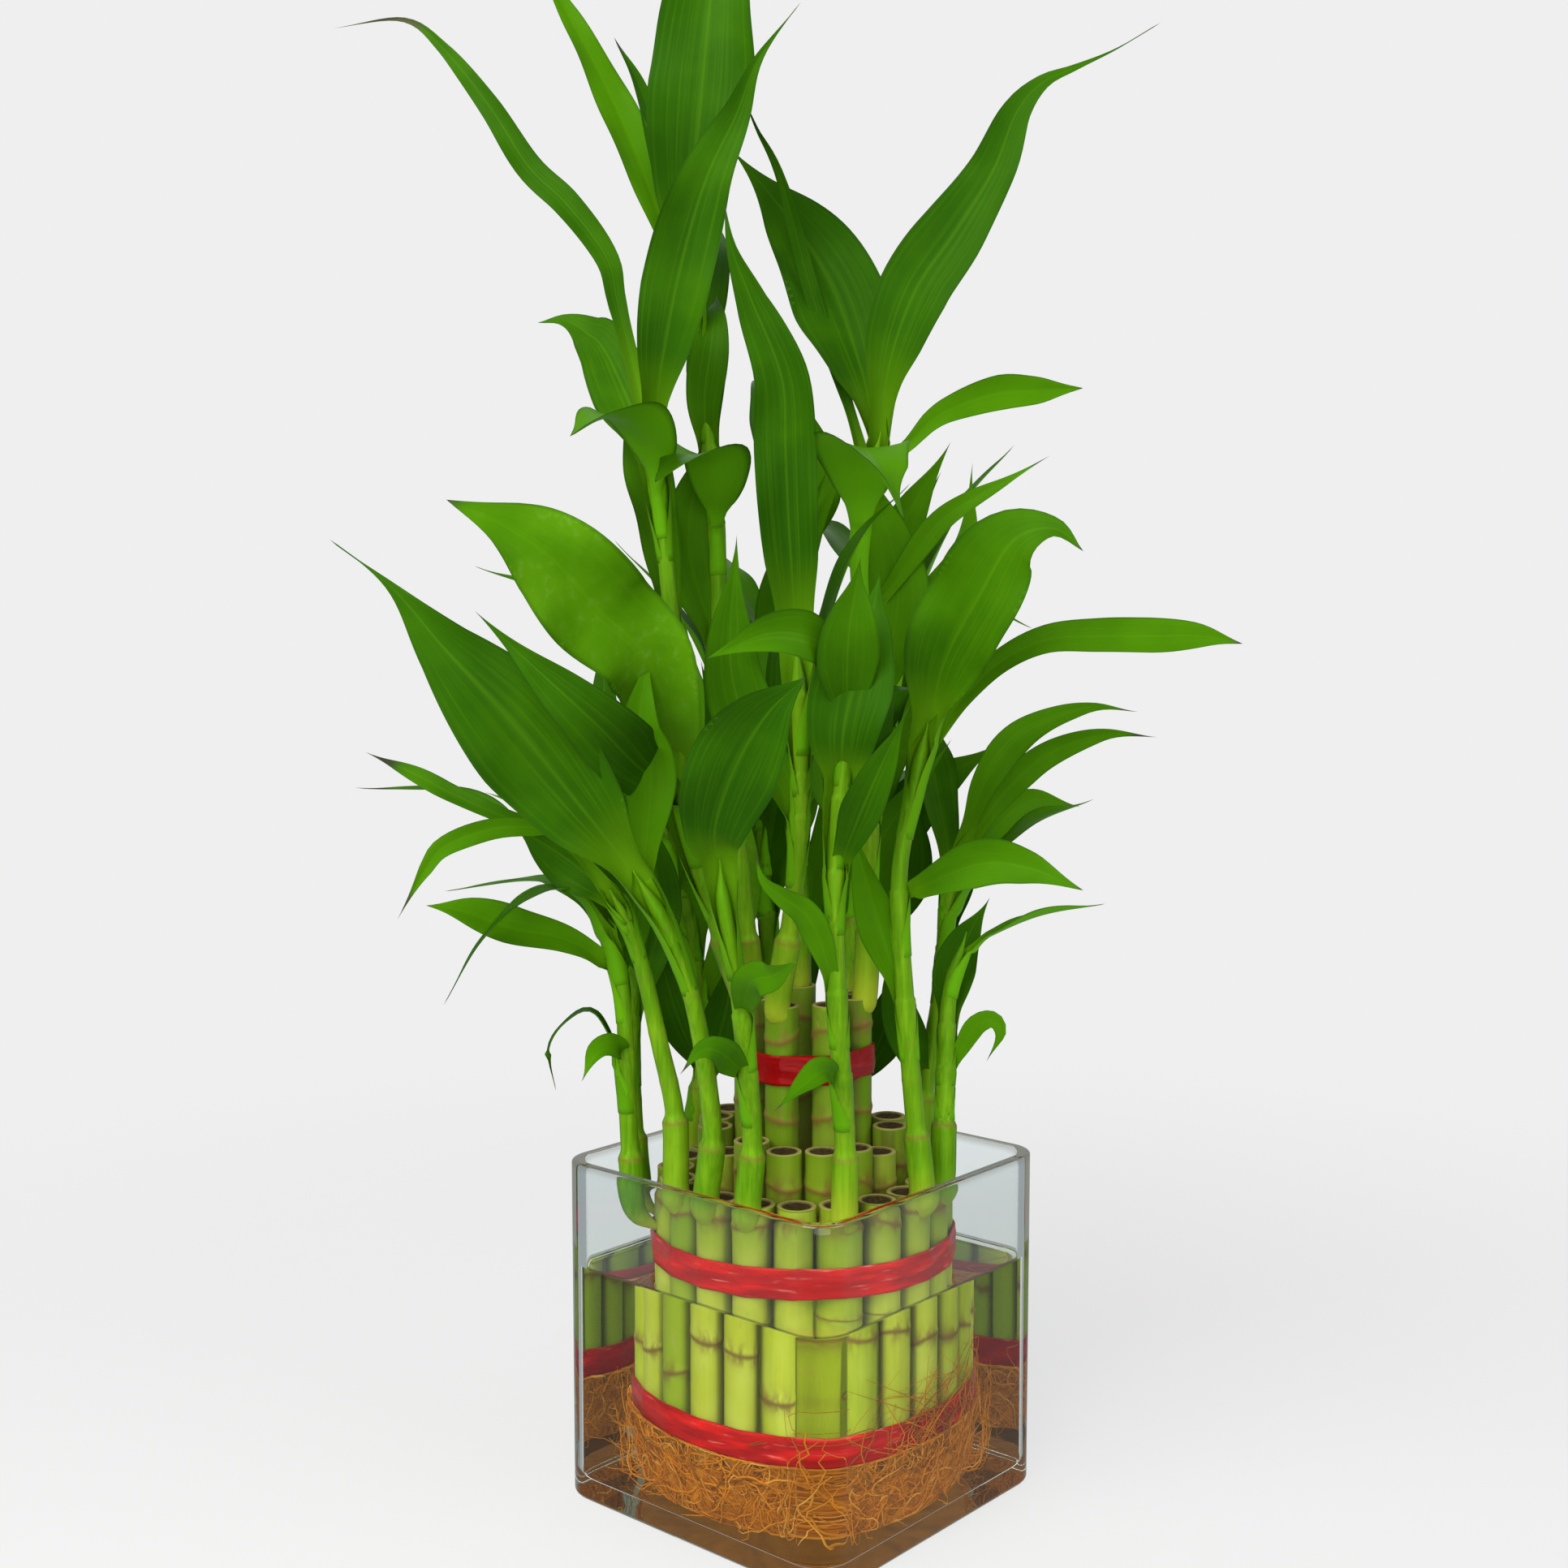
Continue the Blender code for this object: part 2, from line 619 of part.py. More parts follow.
def stem_radii(points, leaves_side):
    """Stout at the foot, slimmer above its first joint, and tapering to the top.

    A stem that leaves its cane's side starts slim and swells past its knee.
    """
    radii = []
    run = 0.0
    total = sum((b - a).length for a, b in zip(points, points[1:]))
    for index, point in enumerate(points):
        if index:
            run += (point - points[index - 1]).length
        slim = STEM_RADIUS + (STEM_TOP_RADIUS - STEM_RADIUS) * run / total
        stout = max(0.0, min(1.0, 1.6 - 1.6 * run / STEM_THICK_PART))
        radius = slim + (STEM_FOOT_RADIUS - slim) * stout
        if leaves_side:
            radius *= min(1.0, 0.55 + 0.45 * run / STEM_KNEE)
        radii.append(radius)
    return radii


def at_height(points, height):
    """The point of the stem at a height, or its end."""
    for below, above in zip(points, points[1:]):
        if below.z <= height <= above.z:
            return below.lerp(above, (height - below.z) / max(above.z - below.z, MM))
    return points[-1].copy()


def blade_width(share):
    """The width of a blade along its length, as a share of its widest."""
    if share < LEAF_WIDEST:
        rise = share / LEAF_WIDEST
        return LEAF_NECK + (1 - LEAF_NECK) * rise * rise * (3 - 2 * rise)
    fall = (share - LEAF_WIDEST) / (1 - LEAF_WIDEST)
    return max(math.cos(fall * math.pi / 2) ** 1.15, 0.05)


def blade_point(leaf, share, side):
    """A point of a blade: share along its length, side from -1 on one edge over 0 on the rib to 1."""
    points, width, look = leaf
    rib = smooth(points, share)
    along = (smooth(points, min(share + 0.02, 1.0)) - smooth(points, max(share - 0.02, 0.0))).normalized()
    face = Vector((0, 0, 1))
    if look is not UP:
        face = compass(math.cos(math.radians(LEAF_LOOK_UP)), look, math.sin(math.radians(LEAF_LOOK_UP)))
    across = along.cross(face).normalized()
    face = across.cross(along)
    half = width / 2 * blade_width(share)
    fold = 0.75 - 0.55 * min(1.0, share / 0.35)
    lift = abs(side) * half * fold
    wave = 0.05 * width * side * math.sin(9 * share + 400 * width) * min(1.0, 2 * share)
    return rib + across * side * half * math.cos(fold / 2) + face * (lift + wave)


def blade(leaf, start=0.0):
    """A blade as an open sheet of triangles, split alike on both faces."""
    points = leaf[0]
    rows = 3 + round((points[-1] - points[0]).length / LEAF_ROW)
    bm = bmesh.new()
    bmesh.ops.create_grid(bm, x_segments=2, y_segments=rows, size=1.0)
    for vert in bm.verts:
        vert.co = blade_point(leaf, start + (1 - start) * (vert.co.y + 1) / 2, round(vert.co.x))
    bmesh.ops.triangulate(bm, faces=bm.faces)
    return bm


def guard(leaf, start):
    """The space that a blade needs to itself."""
    bm = blade(leaf, start)
    bmesh.ops.solidify(bm, geom=bm.faces, thickness=GUARD_THICK)
    tree = BVHTree.FromBMesh(bm)
    bm.free()
    return tree


def stem_guard(points, radii):
    """The space that a stem needs to itself, as six sided rings up its length."""
    spots = []
    faces = []
    for index, (point, radius) in enumerate(zip(points, radii)):
        spots += [point + compass(radius + 2 * GAP, 60 * side) for side in range(6)]
        if index:
            ring = 6 * index
            faces += [(ring - 6 + s, ring - 6 + (s + 1) % 6, ring + (s + 1) % 6, ring + s) for s in range(6)]
    return BVHTree.FromPolygons(spots, faces)


def spare_leaf(rng, points, height, toward):
    """A leaf by rule: it leaves the stem at height and arches over in the given direction."""
    base = at_height(points, height)
    heading = toward + rng.uniform(-45, 45)
    length = rng.uniform(55, 95) * MM
    climb = math.radians(rng.uniform(20, 62))
    tip = base + compass(length * math.cos(climb), heading, length * math.sin(climb))
    middle = (base + tip) / 2 + Vector((0, 0, rng.uniform(0.08, 0.2) * length))
    return ([base, middle, tip], rng.uniform(10, 18) * MM, UP)


def settle_leaves():
    """Every shoot's stem and leaves. A leaf by rule is drawn again until it is clear of all the others."""
    rng = random.Random(SEED)
    stems = {}
    tier = [Vector((0, 0, OUTER_TOP)), Vector((0, 0, UPPER_TOP))]
    tier_radius = UPPER_RING + UPPER_CANE + RIBBON_THICK
    guards = [(None, stem_guard(tier, [tier_radius, tier_radius]), None)]
    for name, shoot in SHOOTS.items():
        points = stem_points(shoot)
        radii = stem_radii(points, shoot["seat"] == "side")
        stems[name] = (points, radii)
        guards.append((name, stem_guard(points, radii), None))
    leaves = {name: [] for name in SHOOTS}

    def keep(name, leaf):
        leaves[name].append(leaf)
        guards.append((name, guard(leaf, 0.0), guard(leaf, 0.25)))

    def is_clear(name, leaf):
        whole = guard(leaf, 0.0)
        outer = guard(leaf, 0.25)
        for owner, body, blade_only in guards:
            if owner != name and whole.overlap(body):
                return False
            if owner == name and blade_only and outer.overlap(blade_only):
                return False
        return True

    for name, shoot in SHOOTS.items():
        for height, width, look, *points in shoot["leaves"]:
            base = at_height(stems[name][0], height * MM)
            keep(name, ([base] + [MM * Vector(p) for p in points], width * MM, look))
    for name, shoot in SHOOTS.items():
        count, low, high, toward = shoot["spare"]
        for index in range(count):
            height = (low + (high - low) * (index + 0.5) / count) * MM
            for _ in range(60):
                leaf = spare_leaf(rng, stems[name][0], height, toward + 40 * (-1) ** index)
                if is_clear(name, leaf):
                    keep(name, leaf)
                    break
    return stems, leaves


def make_shoots(finish, group, parent):
    stems, leaves = settle_leaves()
    for name, (points, radii) in stems.items():
        share = [radius / STEM_FOOT_RADIUS for radius in radii]
        stem = add(name, wound(points, STEM_FOOT_RADIUS, STEM_SIDES_RESOLUTION, share), finish, group, parent)
        stem = frozen(stem)
        blades = bpy.data.collections.new("blades_of_" + name)
        bpy.context.scene.collection.children.link(blades)
        for leaf in leaves[name]:
            sheet = add("blade", mesh_from(blade(leaf), "blade"), finish, blades, parent)
            shell = sheet.modifiers.new("thickness", "SOLIDIFY")
            shell.thickness = LEAF_THICK
            shell.offset = 0.0
        join_with(stem, blades)


def main():
    clear_scene()
    glass = material("glass", (0.86, 0.90, 0.88), 0.03, transmission=1.0)
    water = material("water", (0.80, 0.84, 0.70), 0.02, transmission=1.0)
    root = material("root", (0.45, 0.20, 0.03), 0.7)
    cane = material("cane", (0.42, 0.50, 0.10), 0.4)
    ribbon = material("ribbon", (0.55, 0.01, 0.01), 0.3)
    leaf = material("leaf", (0.08, 0.30, 0.02), 0.35)
    bamboo = bpy.data.collections.new("lucky_bamboo")
    tools = bpy.data.collections.new("cutters")
    bpy.context.scene.collection.children.link(bamboo)
    bpy.context.scene.collection.children.link(tools)
    bunch = bpy.data.objects.new("bunch", None)
    bamboo.objects.link(bunch)
    bunch.rotation_euler.z = BUNCH_TURN
    bpy.context.view_layer.update()
    make_vase(glass, bamboo, tools)
    make_water(water, bamboo, tools)
    make_roots(root, bamboo)
    make_canes(cane, bamboo, bunch)
    for name, low in RIBBON_LOWS.items():
        make_ribbon(name, OUTER_RING, OUTER_CANE, OUTER_COUNT, OUTER_START, low, ribbon, bamboo, bunch)
    make_ribbon("ribbon_upper", UPPER_RING, UPPER_CANE, UPPER_COUNT, UPPER_START, RIBBON_UPPER_LOW,
                ribbon, bamboo, bunch, arc_points=5)
    make_shoots(leaf, bamboo, bunch)


main()
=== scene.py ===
"""Looks for the lucky bamboo in its square glass vase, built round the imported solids.

Lengths are in metres. The bunch is set out in a frame of its own: x to the right, y away and z up from the
table, seen from the side that looks best. That frame is turned by TURN_DEGREES about Z in the vase.
"""

import math
import random
from collections import namedtuple

import bmesh
import bpy
from mathutils import Matrix
from mathutils import Vector
from mathutils import noise
from mathutils.bvhtree import BVHTree


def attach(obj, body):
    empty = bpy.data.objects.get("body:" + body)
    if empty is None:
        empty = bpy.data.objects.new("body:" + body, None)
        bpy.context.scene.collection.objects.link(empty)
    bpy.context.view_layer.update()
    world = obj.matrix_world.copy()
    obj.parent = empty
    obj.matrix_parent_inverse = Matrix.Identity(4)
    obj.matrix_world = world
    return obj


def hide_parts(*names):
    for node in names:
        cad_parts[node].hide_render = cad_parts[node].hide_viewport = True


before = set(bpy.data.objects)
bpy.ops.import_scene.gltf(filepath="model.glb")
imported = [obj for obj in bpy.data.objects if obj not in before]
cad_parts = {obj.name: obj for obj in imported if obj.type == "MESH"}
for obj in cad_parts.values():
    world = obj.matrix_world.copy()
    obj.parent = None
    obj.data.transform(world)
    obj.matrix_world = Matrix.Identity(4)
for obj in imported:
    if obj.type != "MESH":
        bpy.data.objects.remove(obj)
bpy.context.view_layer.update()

MM = 0.001
GAP = 0.3 * MM                      # between solids that touch
TURN_DEGREES = 41
BUNCH_TURN = math.radians(TURN_DEGREES)
TURNED = Matrix.Rotation(BUNCH_TURN, 4, "Z")
BODY = "root"
SEED = 11

# Camera, in the bunch's frame
CAMERA_SPOT = Vector((-5.4, -558.6, 259.8)) * MM
CAMERA_PITCH = math.radians(5.27)   # below level
CAMERA_FOCAL = 44.94                # mm of lens on a 36 mm square sensor

# Vase and water
VASE_SIDE = 100 * MM
VASE_HEIGHT = 100 * MM
VASE_WALL = 3 * MM
VASE_BASE = 6 * MM
VASE_CORNER = 8 * MM
VASE_FOOT = 2 * MM
FLOOR_BEND = 1.5 * MM               # rounding where the inner walls meet the floor
RIM_ROUND = 0.9 * MM                # rounding of the rim's two edges
WATER_TOP = 68 * MM
WATER_GAP = 0.08 * MM               # between the water and the glass
MENISCUS = 0.9 * MM                 # how far the water climbs the glass
MENISCUS_WIDE = 3 * MM              # how far from the glass it starts to climb
WET_TOP = WATER_TOP + MENISCUS
WET_EDGE = 0.05 * MM                # from where the water touches the glass to where it doesn't
VASE_HALF = VASE_SIDE / 2
VASE_INNER = VASE_HALF - VASE_WALL
CORNER_STEPS = 12

# Tiers of canes: the ring that their middles lie on, a cane's radius, the height of the cut tops, how many
# canes, and the direction of the first, or of the first group's middle in the inner tier
Tier = namedtuple("Tier", "ring radius top count start")
OUTER = Tier(37 * MM, 5.5 * MM, 96 * MM, 20, -3)
INNER = Tier(25.8 * MM, 5.3 * MM, 110 * MM, 16, 45)
UPPER = Tier(15.4 * MM, 4.8 * MM, 147 * MM, 7, 247)
INNER_STEP = 21.9                   # between canes that touch in one group
INNER_GROUPS = 4
OUTER_EDGE = OUTER.ring + OUTER.radius
INNER_SLIMMER = 0.25 * MM           # so that canes that touch in the solids don't cross
CANE_FOOT = 22 * MM
CANE_UNEVEN = 0.12 * MM
CUT_ROUGH = 0.15 * MM
CREVICE_SHADE_SIDES = (0.82, 0.98)         # where the painted shade in the crevice beside a cane starts and ends
CREVICE_SHADE_BARE = (8, 14)               # degrees from a corner of the vase, where the painted crevice shade starts to show
CORNER_GLOW = 9                     # degrees from a corner, over which a painted glow makes canes brighter
CANE_SIDES = 30
CANE_ROWS = 14
CUT_ROUND = 0.35 * MM               # rounding of a cane's cut edge
NODE_RIDGE = 0.35 * MM              # how far a joint stands out
OUTER_JOINT = (44, 62)              # mm above the table, where a cane's lower joint can lie
UPPER_JOINT = (112, 118)
OUTER_HIGH_JOINT = 91 * MM
UPPER_HIGH_JOINT = 139 * MM
INNER_DROPS = (0, 2, 5)             # mm that an inner cane's top can lie lower
INNER_JOINT_DROP = 9 * MM
JOINT_ROWS = (-6, -4, -2.4, -1.4, -0.9, -0.5, 0, 0.5, 0.9, 1.4, 2.4, 4, 6)  # mm from a joint
SCAR_WIDTH = 0.75 * MM
RIDGE_WIDTH = 1.1 * MM
STAIN_WIDTH = 3 * MM
SLANT_WIDTH = 5 * MM                # how far from a joint its slant is felt
# The rings of a cut face: share of the cane's radius, drop in CUT_ROUNDs, and the marks cut and pith
CUT_RINGS = ((1.0, 0.5, 0.35, 0), (0.985, 0.15, 0.8, 0), (0.94, 0, 1, 0), (0.84, 0, 1, 0), (0.76, 0, 1, 0.5))
# corner marks a painted glow on the outer side of canes near the vase's corners
# groove marks a painted shade on the sides of canes that face their neighbours
CANE_MARKS = ("ring", "tone", "cut", "pith", "corner", "stain", "groove")

# Ribbons: the tier that each is tied round, and the height of its lower edge
RIBBONS = {
    "ribbon_foot": (OUTER, 27 * MM),
    "ribbon_waist": (OUTER, 72 * MM),
    "ribbon_upper": (UPPER, 125 * MM),
}
RIBBON_WIDTH = 8.5 * MM
RIBBON_THICK = 0.6 * MM
RIBBON_THINNEST = 0.35 * MM
RIBBON_COLUMNS = 12
RIBBON_STEP = 1.2 * MM
LAP_STEPS = 12                      # how many steps of the band its glued end covers
ARC_POINTS = 5                      # of the band round one cane
# dip marks the painted shade in the band's folds and on its inner face
RIBBON_MARKS = ("across", "along", "dip")

# Roots
ROOT_TOP = CANE_FOOT - GAP
ROOT_LOW = VASE_BASE + GAP
ROOT_TOP_RADIUS = 42 * MM
ROOT_FLOOR_RADIUS = 37 * MM
ROOT_ROUGH = 1.6                    # mm that the mass is uneven
ROOT_CLEARANCE = 1.5 * MM           # from the mass to the glass
STRAND_CLEARANCE = 0.4 * MM         # from a strand to the glass
COLLAR_TOP = ROOT_TOP + 5.5 * MM    # how far strands climb the canes' feet
ROOT_SIDES = 96
ROOT_ROWS = 8
MAT_STEPS = 16
STRAND_STEPS = 12
TUFT_REACH = 49 * MM
TUFT_TOP = 41 * MM
WOUND_ROOTS = 700
LOOSE_ROOTS = 110
TUFT_ROOTS = 16
RISING_ROOTS = 60
COLLAR_ROOTS = 420

# Shoots and leaves
STEM_FOOT_RADIUS = 3.9 * MM
STEM_RADIUS = 3.0 * MM
STEM_TOP_RADIUS = 2.0 * MM
STEM_KNEE = 12 * MM
STEM_THICK_PART = 24 * MM
STEM_STOUT = 3.7 * MM
STEM_STEP = 0.8 * MM
STEM_SIDES = 14
STEM_POINTED = 14 * MM              # length over which a stem narrows to its end, inside its last leaves
STEM_FIRST_JOINT = (24, 30)         # mm from the foot
STEM_JOINT_STEP = (8, 17)           # mm from joint to joint
STEM_FAINT_JOINT = 0.25             # how strong the joints above the first are
STEM_HIDDEN_JOINT = 0.3             # and how much of that is left among the leaves
STEM_SCAR_WIDTH = 0.55 * MM
STEM_RIDGE_WIDTH = 1.2 * MM
STEM_RIDGE = 0.35                   # mm that a joint or a sheath stands out
STEM_ROOTING = ((4.4, -9), (1.3, -3), (0, 2))  # mm in from the cane's edge and above its top
SEAT_SHIFT = 1.2 * MM
SEAT_RISE = 4 * MM
SEAT_REACH = 1.5 * MM
SIDE_DROP = 12 * MM
LEAF_ROW = 48 * MM
LEAF_WIDEST = 0.42
LEAF_NECK = 0.22
LEAF_LOOK_UP = math.radians(20)     # how far above level a leaf's face looks
SPARE_TRIES = 60
SPARE_SWING = 40                    # degrees to either side, by turns
FILLING_TRIES = 80
LEAF_COLUMNS = 10
BLADE_STEP = 3.2 * MM
SHEATH_STEP = 2 * MM
SHEATH_LENGTH = 14 * MM             # of the stem that a leaf's sheath swells
SHEATHED = 0.25                     # share of a blade that may touch its own shoot's others
MORE_FROM = 10                      # number of the first of MORE_LEAVES in LEAF_BUILDS
LEAF_HALF_THICK = 0.26 * MM
NARROW_LEAF = 10.5 * MM             # narrower leaves are drier at the tip
GUARD_THICK = 1.8 * MM

# Studio: what each kind of ray sees round the object, and the lamps' place, aim, size, watts and colour
GLASS_REFRACTION = 1.45
WATER_REFRACTION = 1.33
GLASS_IN_WATER = 1.09               # how light is bent where the two touch
WATER_IN_GLASS = 1.0
GLASS_DENSITY = 6.0
WATER_DENSITY = 3.0
FLOOR_RADIUS = 0.9
FLOOR_FADE = (0.16, 0.6)            # from the vase's middle, where the floor starts and ends to fade
FLOOR_GLOW = 0.72
FLOOR_PALE = (0.20, 0.20, 0.20)
FLOOR_GRAIN = (0.17, 0.17, 0.17)
STUDIO_LIGHT = (0.19, 0.20, 0.19)
STUDIO_SHADES = (
    ("Is Transmission Ray", 0, (0.92, 0.97, 1.00)),
    ("Glossy Depth", 0, (0.37, 0.40, 0.41)),
    ("Glossy Depth", 1, (0.30, 0.28, 0.23)),
    ("Is Camera Ray", 0, (0.863, 0.863, 0.863)),
)
LAMPS = {
    "key": ((-0.5, -0.62, 0.85), (0, 0, 0.2), (0.85, 0.85), 16, (1.0, 0.99, 0.96)),
    "front": ((-0.05, -0.95, 0.4), (0, 0, 0.16), (0.8, 0.5), 3.9, (1.0, 1.0, 0.98)),
    "low": ((0.1, -0.85, 0.03), (0, 0, 0.3), (0.8, 0.3), 2.1, (1.0, 1.0, 0.98)),
    "fill": ((0.9, -0.45, 0.75), (0, 0, 0.2), (0.8, 0.8), 6, (0.97, 0.99, 1.0)),
    "back": ((0.1, 0.8, 0.9), (0, 0, 0.25), (0.8, 0.5), 2, (1.0, 1.0, 0.97)),
}

# Colours, in linear red, green and blue
LEAF_DEEP = (0.013, 0.060, 0.001)
LEAF_BRIGHT = (0.050, 0.165, 0.001)
# pale veins and midrib, and also the painted highlight patches on the brightest leaves
LEAF_VEIN_AND_HIGHLIGHT = (0.090, 0.230, 0.004)
LEAF_EDGE = (0.008, 0.040, 0.003)
LEAF_SHEATH = (0.105, 0.260, 0.004)
# the undersides' own paler green, and also the colour of their painted glow
LEAF_UNDERSIDE_AND_GLOW = (0.070, 0.230, 0.003)
# painted highlight speckles
LEAF_PAINTED_HIGHLIGHT = (0.300, 0.560, 0.120)
LEAF_DRIED = (0.026, 0.030, 0.018)
LEAF_DRIED_PALE = (0.062, 0.064, 0.030)
STEM_GREEN = (0.060, 0.170, 0.002)
STEM_BRIGHT = (0.138, 0.290, 0.006)
STEM_YELLOW = (0.215, 0.320, 0.012)
SCAR_BROWN = (0.160, 0.090, 0.020)
CANE_GREEN = (0.240, 0.310, 0.012)
CANE_YELLOW = (0.385, 0.405, 0.025)
CANE_PALE = (0.470, 0.500, 0.080)
CANE_TAN = (0.330, 0.260, 0.080)
# painted shade in the crevices between canes
PAINTED_CREVICE_SHADE = (0.045, 0.040, 0.008)
CUT_RIM = (0.300, 0.250, 0.080)
CUT_BROWN = (0.055, 0.028, 0.012)
CUT_DARK = (0.012, 0.007, 0.004)
UNLIT = (0.000, 0.000, 0.000)
RIBBON_RED = (0.780, 0.008, 0.002)
# painted shade of the satin's streaks and folds
RIBBON_PAINTED_SHADE = (0.330, 0.001, 0.001)
RIBBON_SHADED = (0.150, 0.001, 0.002)
# painted glints
RIBBON_PAINTED_GLINT = (0.900, 0.260, 0.200)
RIBBON_EDGE = (0.480, 0.006, 0.004)
ROOT_DARK = (0.200, 0.062, 0.003)
ROOT_ORANGE = (0.520, 0.165, 0.003)
ROOT_STRAW = (0.750, 0.460, 0.110)
GREEN_GLINT = (0.350, 0.900, 0.120)
CANE_GLINT = (0.800, 1.000, 0.250)
RIBBON_GLINT = (1.000, 0.120, 0.100)
ROOT_GLINT = (1.000, 0.550, 0.150)
CLEAR_GLINT = (0.900, 0.920, 0.930)
GLASS_TINT = (0.890, 0.920, 0.920)
# painted dark shade along the rim and the waterline
GLASS_PAINTED_EDGE_SHADE = (0.200, 0.210, 0.190)
GLASS_MURK = (0.350, 0.500, 0.520)
WATER_TINT = (1.000, 1.000, 0.980)
WATER_MURK = (0.700, 0.680, 0.300)
PAPER = (0.860, 0.865, 0.865)

